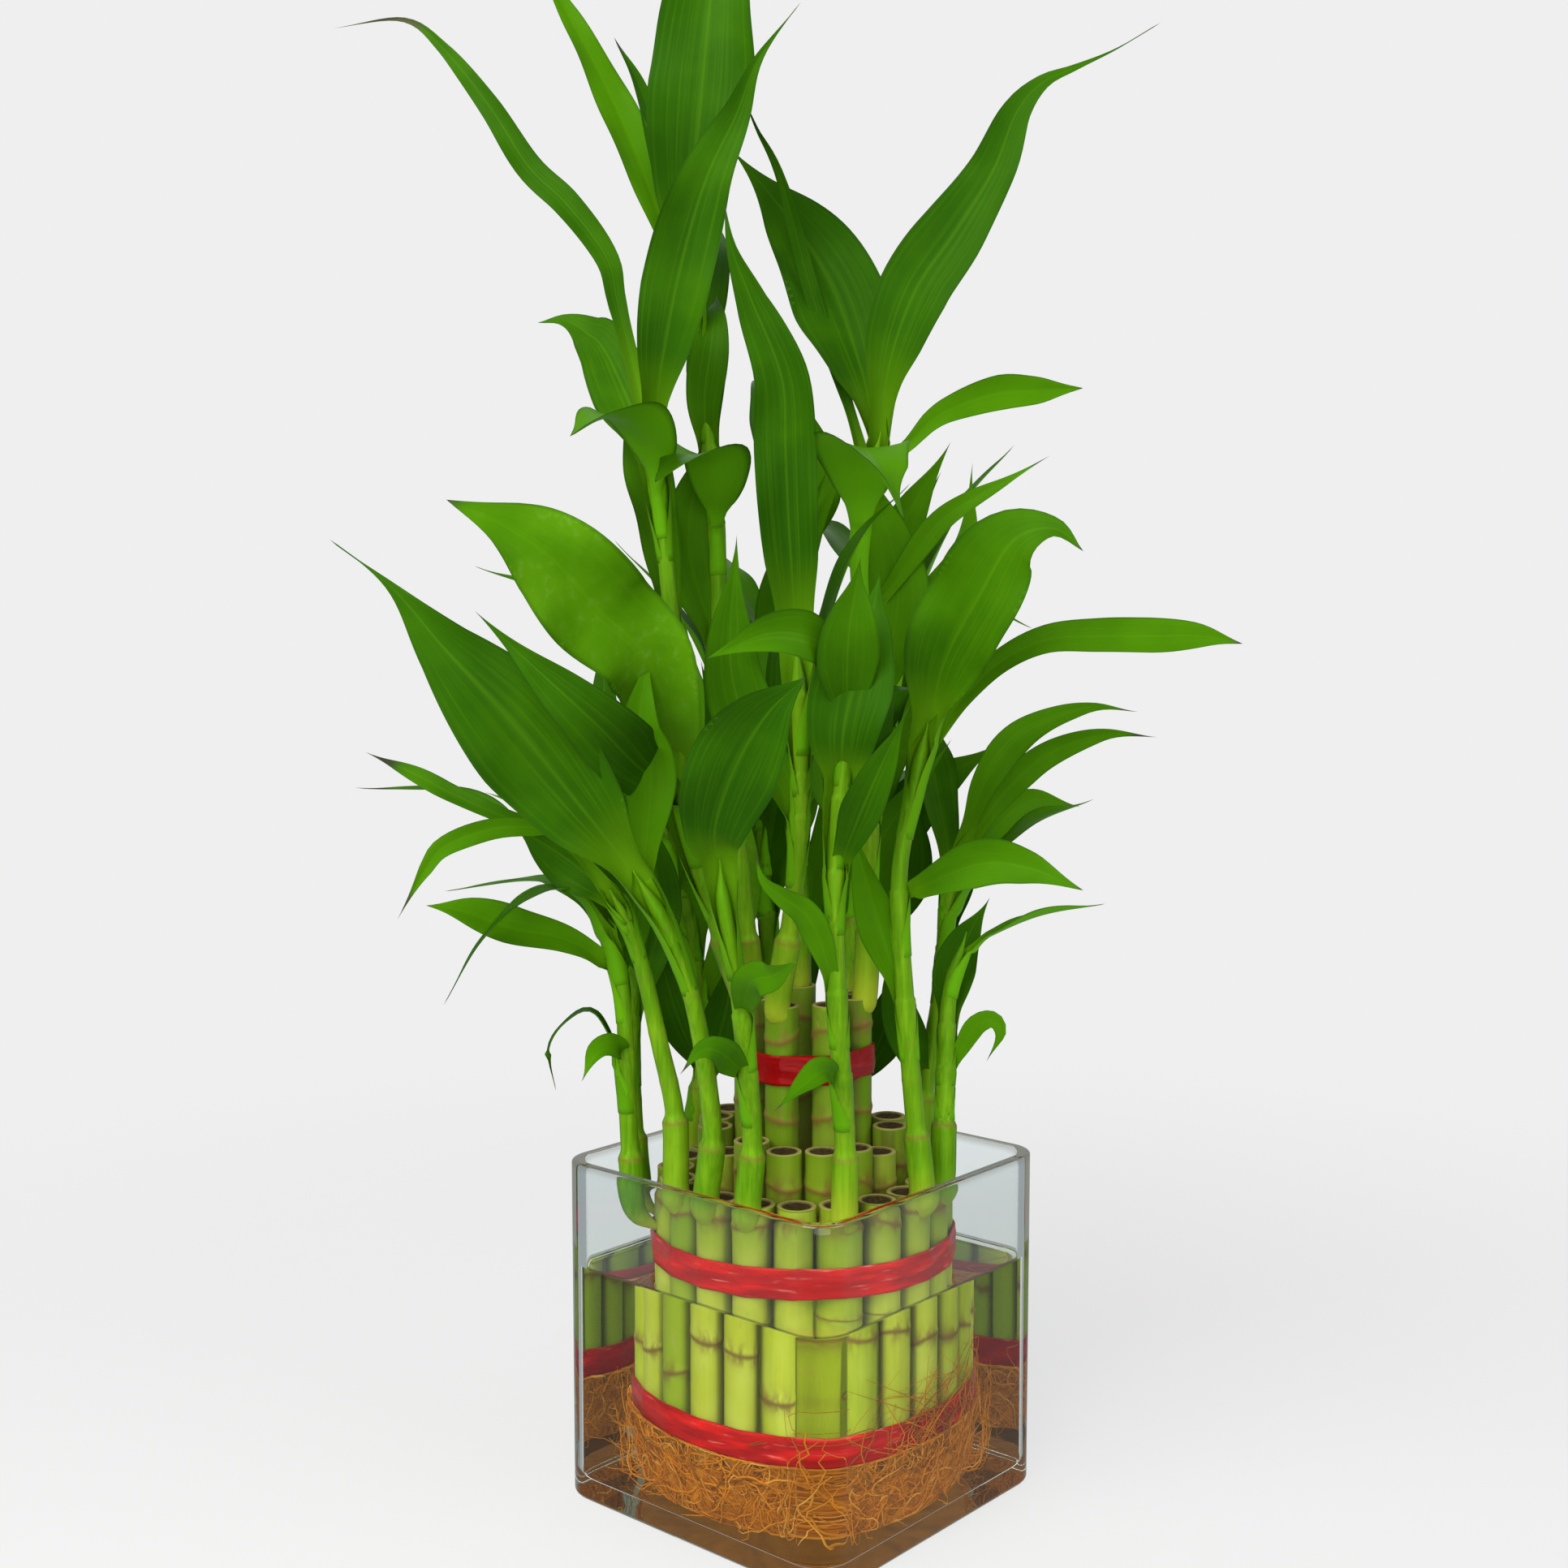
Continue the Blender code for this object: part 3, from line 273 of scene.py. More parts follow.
# Each shoot: its cane's tier and place in it, whether it leaves the cane's side or its cut top, the leaves it
# has by rule, the points that its stem passes, and its leaves. A leaf is the height at which it leaves the
# stem, its width, the direction its face looks, or UP, and the points that its rib passes, the tip last. All
# in millimetres in the bunch's frame. Leaves by rule are how many, from what height to what height, and the
# direction they take.
Shoot = namedtuple("Shoot", "tier index seat spare path leaves")
UP = None
NO_SPARE = (0, 0, 0, 0)
SHOOTS = {
    "left_low": Shoot(
        OUTER, 11, "side", NO_SPARE,
        [(-46, -12, 86), (-48, -13, 92), (-49, -13, 102), (-50, -13, 120), (-51, -12, 148), (-55, -9, 168)],
        [(128, 5, UP, (-59, -12, 144), (-67, -13, 142), (-72, -14, 134), (-70, -14, 122)),
         (132, 7, 270, (-57, -24, 134), (-61, -32, 128)),
         (157, 12, 290, (-67, -16, 166), (-82, -20, 170), (-94, -23, 175), (-104, -25, 177)),
         (165, 7, UP, (-65, -20, 180), (-76, -26, 179), (-88, -31, 168), (-98, -34, 151)),
         (167, 9, UP, (-68, 2, 177), (-80, 10, 179), (-107, 22, 174))]),
    "left": Shoot(
        OUTER, 12, "top", NO_SPARE,
        [(-36, -22, 118), (-40, -23, 138), (-44, -24, 157), (-48, -26, 171), (-53, -29, 182)],
        [(181, 9, UP, (-61, -35, 195), (-71, -41, 202), (-86, -45, 201), (-98, -48, 193), (-107, -50, 177)),
         (181, 9, UP, (-67, -29, 196), (-84, -27, 203), (-98, -24, 210), (-121, -20, 219)),
         (178, 16, 262, (-64, -20, 188), (-82, -15, 199))]),
    "left_front": Shoot(
        OUTER, 13, "top", NO_SPARE,
        [(-25, -36, 118), (-29, -42, 150), (-36, -46, 173), (-45, -49, 190)],
        [(188, 30, 262, (-59, -56, 209), (-74, -61, 229), (-91, -62, 248), (-105, -60, 264),
          (-121, -57, 276))]),
    "front_left": Shoot(
        OUTER, 14, "top", NO_SPARE,
        [(-14, -42, 118), (-17, -50, 155), (-21, -55, 181), (-22, -57, 194)],
        [(134, 9, UP, (-27, -64, 144), (-33, -72, 140)),
         (150, 18, 262, (-12, -71, 165), (0, -84, 172)),
         (192, 24, 268, (-23, -62, 202), (-18, -70, 218), (-10, -76, 232), (0, -80, 242))]),
    "front": Shoot(
        OUTER, 16, "top", (1, 200, 215, 60),
        [(11, -42, 117), (9, -47, 150), (8, -48, 185), (10, -46, 215), (12, -43, 240)],
        [(133, 8, UP, (2, -60, 138), (-9, -72, 133)),
         (156, 10, 300, (-2, -62, 184), (-14, -72, 194)),
         (188, 11, 260, (17, -60, 213), (26, -68, 234)),
         (229, 17, 272, (11, -56, 250), (14, -60, 272)),
         (238, 13, 290, (7, -50, 246), (1, -57, 251), (-10, -64, 252), (-25, -70, 246))]),
    "front_right": Shoot(
        OUTER, 18, "top", NO_SPARE,
        [(31, -27, 117), (28, -29, 150), (26, -30, 185), (30, -28, 208), (34, -26, 228)],
        [(150, 12, 268, (20, -24, 174), (13, -22, 200)),
         (180, 16, 275, (42, -38, 190), (56, -46, 195), (64, -51, 192), (73, -56, 185)),
         (220, 14, 285, (44, -28, 239), (58, -30, 248), (75, -32, 252), (101, -33, 253), (118, -32, 249)),
         (226, 28, 256, (38, -33, 245), (46, -42, 262), (54, -48, 276), (64, -52, 279), (71, -56, 273))]),
    "right": Shoot(
        OUTER, 19, "top", NO_SPARE,
        [(40, -14, 112), (41, -9, 130), (42, -6, 148), (47, -3, 166)],
        [(126, 6, 270, (47, -9, 138), (53, -10, 141), (57, -11, 137), (56, -12, 128), (51, -12, 120)),
         (138, 13, 265, (45, 4, 156), (55, 10, 174)),
         (161, 8, UP, (67, -1, 170), (88, 4, 173))]),
    "right_back": Shoot(
        OUTER, 2, "top", (3, 150, 182, 60),
        [(38, 23, 118), (42, 24, 145), (44, 25, 169), (49, 28, 188)],
        [(186, 10, 285, (54, 22, 206), (65, 20, 221), (84, 18, 229), (99, 18, 228)),
         (184, 9, 285, (60, 28, 202), (74, 33, 214), (92, 37, 220), (109, 40, 219)),
         (178, 10, 285, (58, 36, 190), (71, 44, 199), (88, 55, 196))]),
    "tall_left": Shoot(
        UPPER, 6, "top", (1, 235, 262, 100),
        [(-24, -8, 168), (-33, -13, 202), (-36, -16, 250), (-40, -16, 290), (-43, -16, 310)],
        [(204, 14, 290, (-62, -12, 235), (-93, 0, 258)),
         (210, 27, 258, (-42, -32, 236), (-53, -43, 258), (-70, -51, 275), (-91, -56, 287)),
         (224, 11, UP, (-66, 12, 258), (-98, 30, 271)),
         (290, 22, UP, (-44, -42, 308), (-57, -66, 298)),
         (299, 20, 262, (-65, 16, 337), (-71, 42, 328)),
         (304, 21, 268, (-37, -23, 328), (-30, -32, 358), (-22, -35, 377), (-13, -37, 395), (-1, -38, 416)),
         (309, 11, 290, (-54, -13, 352), (-68, -7, 379), (-88, 2, 400), (-108, 9, 422), (-133, 13, 422))]),
    "tallest": Shoot(
        UPPER, 5, "top", (1, 315, 330, 60),
        [(-18, 9, 180), (-23, 8, 235), (-25, 8, 284), (-29, 6, 325), (-32, 4, 350)],
        [(281, 18, UP, (-29, 32, 297), (-17, 64, 306)),
         (302, 12, 275, (-28, 22, 331), (-24, 48, 351)),
         (343, 11, 275, (-53, 14, 400), (-82, 22, 454)),
         (346, 9, 275, (-42, 30, 388), (-56, 46, 426)),
         (349, 30, 268, (-31, -1, 371), (-28, -4, 401), (-25, 0, 432), (-20, 10, 474))]),
    "middle": Shoot(
        UPPER, 0, "top", (2, 200, 245, 100),
        [(-3, -19, 175), (-1, -21, 202), (-1, -22, 228), (-2, -23, 250)],
        [(249, 23, 272, (-3, -27, 280), (-7, -32, 308), (-14, -31, 334), (-24, -18, 364))]),
    "tall_right": Shoot(
        UPPER, 2, "top", (1, 225, 240, 250),
        [(19, 0, 175), (19, 4, 230), (16, 2, 270), (18, 1, 290), (22, 0, 308)],
        [(247, 8, 265, (45, 12, 272), (50, 22, 301)),
         (254, 10, 290, (26, 0, 266), (40, -3, 284), (55, 0, 293), (74, 6, 302)),
         (280, 20, UP, (15, -26, 300), (25, -56, 283)),
         (296, 7, 275, (2, -14, 340), (-16, -10, 394)),
         (302, 13, 285, (38, 12, 315), (56, 18, 326), (68, 23, 327), (81, 27, 324)),
         (304, 25, 265, (31, -6, 336), (42, -9, 360), (55, -11, 382), (66, -12, 399), (98, -13, 417)),
         (306, 28, 272, (16, 8, 328), (8, 18, 352), (-5, 25, 373), (-21, 32, 393))]),
    "back_right": Shoot(
        UPPER, 3, "top", (5, 200, 262, 60),
        [(18, 17, 180), (25, 24, 220), (28, 28, 250), (28, 32, 266)],
        [(249, 12, UP, (44, 38, 263), (72, 52, 252))]),
    "back": Shoot(
        UPPER, 4, "top", (6, 205, 292, 100),
        [(-1, 24, 180), (-4, 32, 225), (-6, 38, 265), (-8, 42, 296)],
        []),
    "low_back_right": Shoot(
        OUTER, 4, "top", (5, 130, 196, 70),
        [(16, 38, 120), (18, 42, 150), (20, 47, 175), (22, 54, 200)],
        []),
    "low_back": Shoot(
        OUTER, 6, "top", (5, 140, 212, 100),
        [(-10, 40, 120), (-10, 46, 155), (-14, 54, 190), (-16, 60, 215)],
        []),
    "low_back_left": Shoot(
        OUTER, 8, "top", (5, 130, 192, 125),
        [(-30, 28, 120), (-33, 33, 150), (-38, 40, 175), (-44, 48, 196)],
        []),
    "left_back": Shoot(
        OUTER, 10, "side", (4, 140, 180, 120),
        [(-46, 3, 86), (-48, 3, 92), (-49, 3, 102), (-50, 5, 120), (-52, 14, 160), (-56, 20, 182)],
        []),
}
# Leaves that are shaped closer than the table does, by their place in it: width, look and points
RESHAPED = {
    "tall_left": {
        0: (19, 262, (-44, -38, 216), (-53, -62, 229), (-67, -68, 243), (-83, -66, 258)),
        1: (29, 260, (-41, -32, 243), (-54, -42, 258), (-65, -50, 271), (-76, -54, 279), (-91, -58, 286)),
        3: (23, UP, (-41, -24, 302), (-46, -32, 308), (-53, -39, 308), (-61, -44, 303)),
        4: (19, 262, (-55, 4, 329), (-62, 12, 337), (-69, 16, 341), (-77, 20, 341)),
        5: (19, 268, (-38, -22, 326), (-33, -26, 349), (-26, -30, 371), (-18, -32, 387), (-12, -34, 401),
            (-1, -35, 415)),
        6: (8, 268, (-51, -10, 341), (-54, -10, 354), (-65, -7, 369), (-76, -4, 380), (-87, 0, 397),
            (-101, 8, 415), (-113, 12, 424), (-133, 13, 422)),
    },
    "tallest": {
        0: (22, UP, (-24, -8, 291), (-26, -17, 299), (-32, -25, 299), (-40, -30, 292)),
        3: (7, 275, (-44, 14, 399), (-54, 18, 421)),
    },
    "middle": {
        0: (17, 272, (-4, -27, 279), (-5, -30, 300), (-6, -33, 319), (-14, -36, 339), (-19, -38, 352),
            (-21, -38, 364)),
    },
    "tall_right": {
        1: (7, 290, (26, 2, 266), (37, 0, 281), (46, -2, 288), (57, -4, 294), (69, -6, 301)),
        2: (27, UP, (15, -16, 296), (15, -31, 301), (19, -42, 295), (26, -47, 281)),
        3: (5, 275, (4, 14, 344), (-6, 10, 379), (-13, 8, 393), (-16, 8, 400)),
        4: (10, 285, (28, 0, 303), (36, 2, 311), (43, 3, 315), (55, 5, 319), (66, 6, 320), (80, 8, 321)),
        5: (21, 265, (24, -2, 326), (31, -5, 346), (42, -8, 362), (52, -9, 378), (58, -10, 393),
            (65, -10, 401), (74, -10, 405), (85, -10, 410), (97, -10, 417)),
    },
    "front_left": {
        0: (9, 262, (-22, -60, 144), (-27, -64, 145), (-32, -68, 140)),
        1: (10, 266, (-14, -64, 163), (-8, -70, 166), (-2, -76, 171)),
    },
    "left": {
        0: (6, 275, (-66, -35, 198), (-72, -38, 200), (-83, -41, 200), (-95, -45, 196), (-100, -47, 190),
            (-107, -50, 177)),
        1: (5.5, 272, (-66, -30, 196), (-84, -29, 203), (-96, -27, 208), (-106, -25, 213),
            (-121, -20, 219)),
    },
    "left_low": {
        1: (8, 272, (-52, -20, 136), (-57, -26, 136), (-61, -31, 129)),
    },
    "front": {
        0: (8, 268, (5, -56, 138), (0, -62, 136), (-8, -70, 131)),
        1: (8, 268, (4, -54, 172), (0, -58, 180), (-6, -62, 185), (-11, -64, 190), (-13, -64, 198)),
    },
    "front_right": {
        1: (13, 272, (46, -38, 190), (59, -44, 190), (73, -51, 185)),
        2: (10, 278, (43, -27, 234), (53, -28, 244), (65, -30, 250), (79, -31, 251), (94, -32, 251),
            (107, -32, 251), (118, -31, 249)),
    },
    "right": {
        0: (6, 270, (44, -9, 131), (49, -10, 140), (54, -11, 142), (56, -12, 138), (52, -12, 130)),
    },
}
# How a leaf is built where it isn't like the usual: neck is its width at the foot as a share of its widest,
# widest is where along it that is, slender is how thin it runs out, tone is how bright its green is from 0 to
# 1, and dry is the share of it that has dried from the tip
USUAL_LEAF = {"neck": 0.34, "widest": LEAF_WIDEST, "slender": 1.4, "dry": 0.0}
LEAF_BUILDS = {
    "tall_left": {
        0: {"tone": 0.05},
        1: {"neck": 0.6, "widest": 0.58, "slender": 1.0, "tone": 0.97},
        3: {"neck": 0.22, "widest": 0.62, "slender": 0.75, "tone": 0.6},
        4: {"neck": 0.5, "widest": 0.3, "slender": 1.0, "tone": 0.3},
        5: {"tone": 0.15, "widest": 0.34, "slender": 1.7},
        6: {"tone": 0.1, "dry": 0.16},
    },
    "tallest": {
        0: {"neck": 0.22, "widest": 0.6, "slender": 0.75, "tone": 0.6},
        3: {"slender": 0.9, "tone": 0.0},
        4: {"neck": 0.45, "tone": 0.0},
        10: {"neck": 0.4},
    },
    "middle": {0: {"neck": 0.8, "tone": 0.05, "slender": 1.15}},
    "tall_right": {
        2: {"widest": 0.5, "slender": 0.9, "tone": 0.95},
        3: {"slender": 0.8, "tone": 0.0, "dry": 0.05},
        4: {"neck": 0.22, "widest": 0.62, "slender": 0.9, "tone": 0.8, "dry": 0.0},
        5: {"tone": 0.1, "widest": 0.3, "slender": 2.2},
        6: {"tone": 0.1},
    },
    "left": {0: {"widest": 0.6}, 1: {"widest": 0.7, "neck": 0.25}},
    "left_low": {2: {"widest": 0.6, "slender": 1.0}},
    "left_front": {0: {"neck": 0.5, "widest": 0.38, "slender": 2.6, "tone": 0.1}, 10: {"neck": 0.4}},
    "front_left": {
        1: {"widest": 0.5, "slender": 1.0, "tone": 0.6},
        2: {"neck": 0.5, "widest": 0.5, "slender": 1.0, "tone": 0.0},
    },
    "front": {4: {"slender": 1.15, "tone": 0.65}, 10: {"neck": 0.6, "tone": 0.1}, 11: {"neck": 0.4}},
    "low_back_left": {10: {"tone": 0.1}, 11: {"tone": 0.0}},
    "low_back_right": {10: {"tone": 0.05}},
    "low_back": {10: {"tone": 0.0}},
    "right_back": {10: {"tone": 0.1}},
    "front_right": {
        1: {"slender": 1.0, "tone": 0.6},
        2: {"neck": 0.4, "widest": 0.74, "slender": 1.0, "tone": 0.7},
        3: {"neck": 0.45, "slender": 1.15, "tone": 0.4, "dry": 0.02},
    },
}
# More leaves close to the stems: height on the stem, width, look and points
MORE_LEAVES = {
    "left_front": [(186, 14, 265, (-41, -36, 213), (-44, -34, 226), (-43, -32, 239), (-41, -30, 250))],
    "tallest": [(300, 12, 268, (-28, 4, 316), (-26, 2, 331), (-25, 8, 342), (-25, 20, 349))],
    "front": [(212, 22, 270, (10, -50, 226), (13, -49, 240), (17, -46, 254), (20, -40, 268)),
              (196, 17, 268, (13, -36, 215), (18, -32, 228), (22, -30, 238), (21, -25, 245))],
    "low_back_left": [(118, 13, 270, (-36, 22, 132), (-41, 18, 150), (-44, 16, 168)),
                      (114, 13, 275, (-26, 22, 126), (-22, 18, 142), (-20, 15, 160))],
    "low_back_right": [(112, 14, 268, (22, 32, 122), (27, 26, 138), (30, 22, 158))],
    "low_back": [(126, 14, 270, (-5, 34, 138), (2, 30, 152), (7, 27, 170))],
    "right_back": [(114, 12, 272, (33, 18, 126), (28, 14, 142), (25, 12, 160))],
}
# Upright leaves that fill the thick of the bunch: how many, from what height to what height, and their lean
FILLING = {
    "back": (4, 185, 280, 0),
    "low_back": (4, 135, 205, 5),
    "low_back_right": (4, 128, 190, 20),
    "low_back_left": (4, 128, 190, -20),
    "back_right": (3, 170, 255, 15),
    "left_back": (3, 130, 170, -15),
    "tallest": (2, 190, 260, -5),
    "tall_right": (2, 180, 240, 10),
    "middle": (1, 185, 215, 0),
}


class Socket:
    """A node's output in an expression. Each operator adds the Math node that works it out."""

    def __init__(self, graph, source):
        self.graph = graph
        self.source = source

    def math(self, operation, *values):
        return self.graph.node("Math", {"operation": operation}, dict(enumerate((self, *values))))

    def __add__(self, other):
        return self.math("ADD", other)

    def __sub__(self, other):
        return self.math("SUBTRACT", other)

    def __rsub__(self, other):
        return self.graph.node("Math", {"operation": "SUBTRACT"}, {0: other, 1: self})

    def __mul__(self, other):
        return self.math("MULTIPLY", other)

    def __abs__(self):
        return self.math("ABSOLUTE")

    def ramp(self, low, high, start=0.0, end=1.0):
        """The value eased from start to end as it goes from low to high, and level beyond."""
        inputs = {"Value": self, "From Min": low, "From Max": high, "To Min": start, "To Max": end}
        return self.graph.node("MapRange", {"interpolation_type": "SMOOTHSTEP"}, inputs)

    __radd__ = __add__
    __rmul__ = __mul__


class Graph:
    """A tree of nodes, and the one way to add a node to it."""

    def __init__(self, tree):
        self.tree = tree

    def join(self, value, socket):
        if isinstance(value, Socket):
            self.tree.links.new(value.source, socket)
        elif socket.type == "RGBA" and len(value) == 3:
            socket.default_value = (*value, 1.0)
        else:
            socket.default_value = value

    def node(self, kind, settings, inputs, output=0):
        made = self.tree.nodes.new("ShaderNode" + kind)
        for name, value in settings.items():
            setattr(made, name, value)
        for name, value in inputs.items():
            self.join(value, made.inputs[name])
        return Socket(self, made.outputs[output])

    def ray(self, question):
        return self.node("LightPath", {}, {}, question)

    def marks(self, *names):
        return [self.node("Attribute", {"attribute_name": name}, {}, "Fac") for name in names]

    def place(self, x=1.0, y=1.0, z=1.0):
        """The place on the piece, in metres, stretched along each axis."""
        here = self.node("TexCoord", {}, {}, "Object")
        return self.node("VectorMath", {"operation": "MULTIPLY"}, {0: here, 1: (x, y, z)})

    def height(self):
        return self.node("SeparateXYZ", {}, {0: self.place()}, "Z")

    def spot(self, x, y, z):
        return self.node("CombineXYZ", {}, {0: x, 1: y, 2: z})

    def clouds(self, where, scale, detail=3.0, rough=0.5):
        """Noise from 0 to 1."""
        inputs = {"Vector": where, "Scale": scale, "Detail": detail, "Roughness": rough}
        return self.node("TexNoise", {}, inputs, "Fac")

    def mixed(self, share, first, second):
        """The colour share of the way from the first to the second."""
        return self.node("Mix", {"data_type": "RGBA"}, {0: share, 6: first, 7: second}, 2)

    def layered(self, colour, *layers):
        """The colour with others laid over it in turn, each by its own share."""
        for share, over in layers:
            colour = self.mixed(share, colour, over)
        return colour

    def bump(self, height, distance, strength, under=None):
        inputs = {"Height": height, "Distance": distance, "Strength": strength}
        if under:
            inputs["Normal"] = under
        return self.node("Bump", {}, inputs)


class Finish(Graph):
    """A material in the making, with its main shader."""

    def __init__(self, name, constants):
        self.material = bpy.data.materials.new(name)
        self.material.use_nodes = True
        super().__init__(self.material.node_tree)
        self.shader = self.tree.nodes["Principled BSDF"]
        self.body = Socket(self, self.shader.outputs[0])
        self.output = self.tree.nodes["Material Output"]
        self.put(constants)

    def put(self, values):
        for socket, value in values.items():
            self.join(value, self.shader.inputs[socket])

    def surface(self, share, first, second):
        """The surface is share of the way from the first shader to the second."""
        self.join(self.blend(share, first, second), self.output.inputs["Surface"])

    def blend(self, share, first, second):
        return self.node("MixShader", {}, {0: share, 1: first, 2: second})


def leaf_finish():
    """Glossy green blade: fine veins along it, paler at the stem, browned at a dry tip, with painted
    highlights on the brightest leaves and a painted glow on the undersides of the brighter ones.
    """
    leaf = Finish("leaf", {"Specular IOR Level": 0.08, "Specular Tint": GREEN_GLINT, "Coat Roughness": 0.3,
                           "Coat IOR": 1.35, "Emission Strength": 0.35})
    along, across, tone, dry, under = leaf.marks("along", "across", "tone", "dry", "under")
    veins = leaf.clouds(leaf.spot(across * 15, along * 1.5, tone * 30), 1.0, 4.0, 0.6)
    fine = leaf.clouds(leaf.spot(across * 60, along * 2.5, tone * 30), 1.0, 1.0)
    quilt = leaf.clouds(leaf.place(), 260.0, 2.0)
    patches = leaf.clouds(leaf.place(), 38.0, 3.0)
    # painted highlights: pale patches and speckles on the brightest leaves
    painted_highlight = tone.ramp(0.95, 0.965) * patches.ramp(0.35, 0.6)
    painted_speckle = leaf.clouds(leaf.place(), 420.0, 3.0).ramp(0.5, 0.75, 0.0, 0.12)
    green = leaf.layered(
        LEAF_DEEP,
        ((tone * 0.6 + patches * 0.7).ramp(0.25, 1.0), LEAF_BRIGHT),
        (painted_highlight * 0.5, LEAF_VEIN_AND_HIGHLIGHT),
        (painted_speckle * painted_highlight, LEAF_PAINTED_HIGHLIGHT),
        (veins.ramp(0.45, 0.8, 0.0, 0.22), LEAF_VEIN_AND_HIGHLIGHT),
        (abs(across).ramp(0.0, 0.07, 0.2, 0.0), LEAF_VEIN_AND_HIGHLIGHT),
        (abs(across).ramp(0.88, 1.0, 0.0, 0.45), LEAF_EDGE),
        (along.ramp(0.0, 0.22, 0.75, 0.0), LEAF_SHEATH),
        (under * 0.7, LEAF_UNDERSIDE_AND_GLOW),
    )
    dried = (along + veins * 0.08 - 0.04 + dry).ramp(0.97, 1.03)
    withered = leaf.mixed(patches.ramp(0.35, 0.65), LEAF_DRIED, LEAF_DRIED_PALE)
    leaf.put({
        "Base Color": leaf.mixed(dried, green, withered),
        # painted glow on the undersides of the brighter leaves
        "Emission Color": leaf.mixed(under * tone.ramp(0.2, 1.0), UNLIT, LEAF_UNDERSIDE_AND_GLOW),
        "Roughness": dried.ramp(0.0, 1.0, 0.42, 0.7) + patches * 0.12,
        "Coat Weight": 0.01 - dried * 0.01,
        "Normal": leaf.bump(quilt * 0.5, 0.15 * MM, 0.3, leaf.bump(fine, 0.1 * MM, 0.15)),
    })
    return leaf


def stem_finish():
    """Bright smooth shoot: faint streaks up it, a thin brown scar round each joint, browner at its foot."""
    stem = Finish("stem", {"Specular IOR Level": 0.3, "Specular Tint": GREEN_GLINT, "Roughness": 0.36})
    ring, rise, tone = stem.marks("ring", "along", "tone")
    streaks = stem.clouds(stem.place(900, 900, 60), 1.0, 3.0, 0.6)
    patches = stem.clouds(stem.place(), 70.0, 3.0)
    yellow = (tone * 0.8 + patches * 0.4).ramp(0.6, 1.1, 0.0, 0.6) * rise.ramp(0.12, 0.4, 1.0, 0.25)
    stem.put({
        "Base Color": stem.layered(
            STEM_GREEN,
            ((streaks * 0.6 + patches * 0.5).ramp(0.35, 0.8), STEM_BRIGHT),
            (rise.ramp(0.55, 1.0, 0.0, 0.6), LEAF_BRIGHT),
            (yellow, STEM_YELLOW),
            (rise.ramp(0.02, 0.14, 0.75, 0.0), CANE_YELLOW),
            (rise.ramp(0.0, 0.05, 0.65, 0.0), SCAR_BROWN),
            (ring * 0.75, SCAR_BROWN),
        ),
        "Normal": stem.bump(streaks, 0.12 * MM, 0.4),
    })
    return stem


def cane_finish():
    """Smooth yellow-green cane: faint streaks, brown joint scars, and a pale rim round a dark cut face;
    painted shade in the crevices between canes and on the canes above 0.1 m, and a painted glow up to the
    water, strongest near the vase's corners.
    """
    cane = Finish("cane", {"Specular IOR Level": 0.25, "Specular Tint": CANE_GLINT, "Emission Strength": 0.5})
    ring, tone, cut, pith, corner, stain, groove = cane.marks(*CANE_MARKS)
    height = cane.height()
    streaks = cane.clouds(cane.place(700, 700, 40), 1.0, 4.0, 0.6)
    patches = cane.clouds(cane.place(), 55.0, 3.0)
    fibres = cane.clouds(cane.place(), 900.0, 2.0)
    blemish = cane.clouds(cane.place(260, 260, 130), 1.0, 4.0, 0.65).ramp(0.62, 0.75, 0.0, 0.5)
    smears = cane.clouds(cane.place(220, 220, 110), 1.0, 3.0, 0.6).ramp(0.42, 0.6, 0.0, 0.8)
    green = cane.layered(
        CANE_GREEN,
        ((streaks * 0.5 + tone * 0.6).ramp(0.3, 0.85), CANE_YELLOW),
        ((patches * 0.8 + tone * 0.3).ramp(0.5, 0.85, 0.0, 0.6), CANE_PALE),
        (height.ramp(WATER_TOP, OUTER.top, 0.0, 0.55), STEM_GREEN),
        (height.ramp(0.025, 0.029, 0.8, 0.0), ROOT_ORANGE),
        # painted shade on the canes above 0.1 m, among the leaves
        (height.ramp(0.1, 0.115, 0.0, 0.6), STEM_GREEN),
        (blemish, CANE_TAN),
        (stain * smears, SCAR_BROWN),
        (ring, SCAR_BROWN),
        # painted shade on the sides of canes that face their neighbours
        (groove * 0.62, PAINTED_CREVICE_SHADE),
    )
    face = cane.mixed(pith, CUT_RIM, cane.mixed(fibres.ramp(0.4, 0.7), CUT_DARK, CUT_BROWN))
    colour = cane.mixed(cut, green, face)
    # painted glow: on the canes up to the water, brightest near the vase's corners
    lit = (corner * 0.8 + 0.2) * height.ramp(0.06, 0.074, 1.0, 0.0)
    cane.put({
        "Base Color": colour,
        "Emission Color": cane.mixed(lit, CUT_DARK, colour),
        "Roughness": cut.ramp(0.0, 1.0, 0.38, 0.85),
        "Normal": cane.bump(streaks + fibres * cut, 0.15 * MM, 0.5),
    })
    return cane


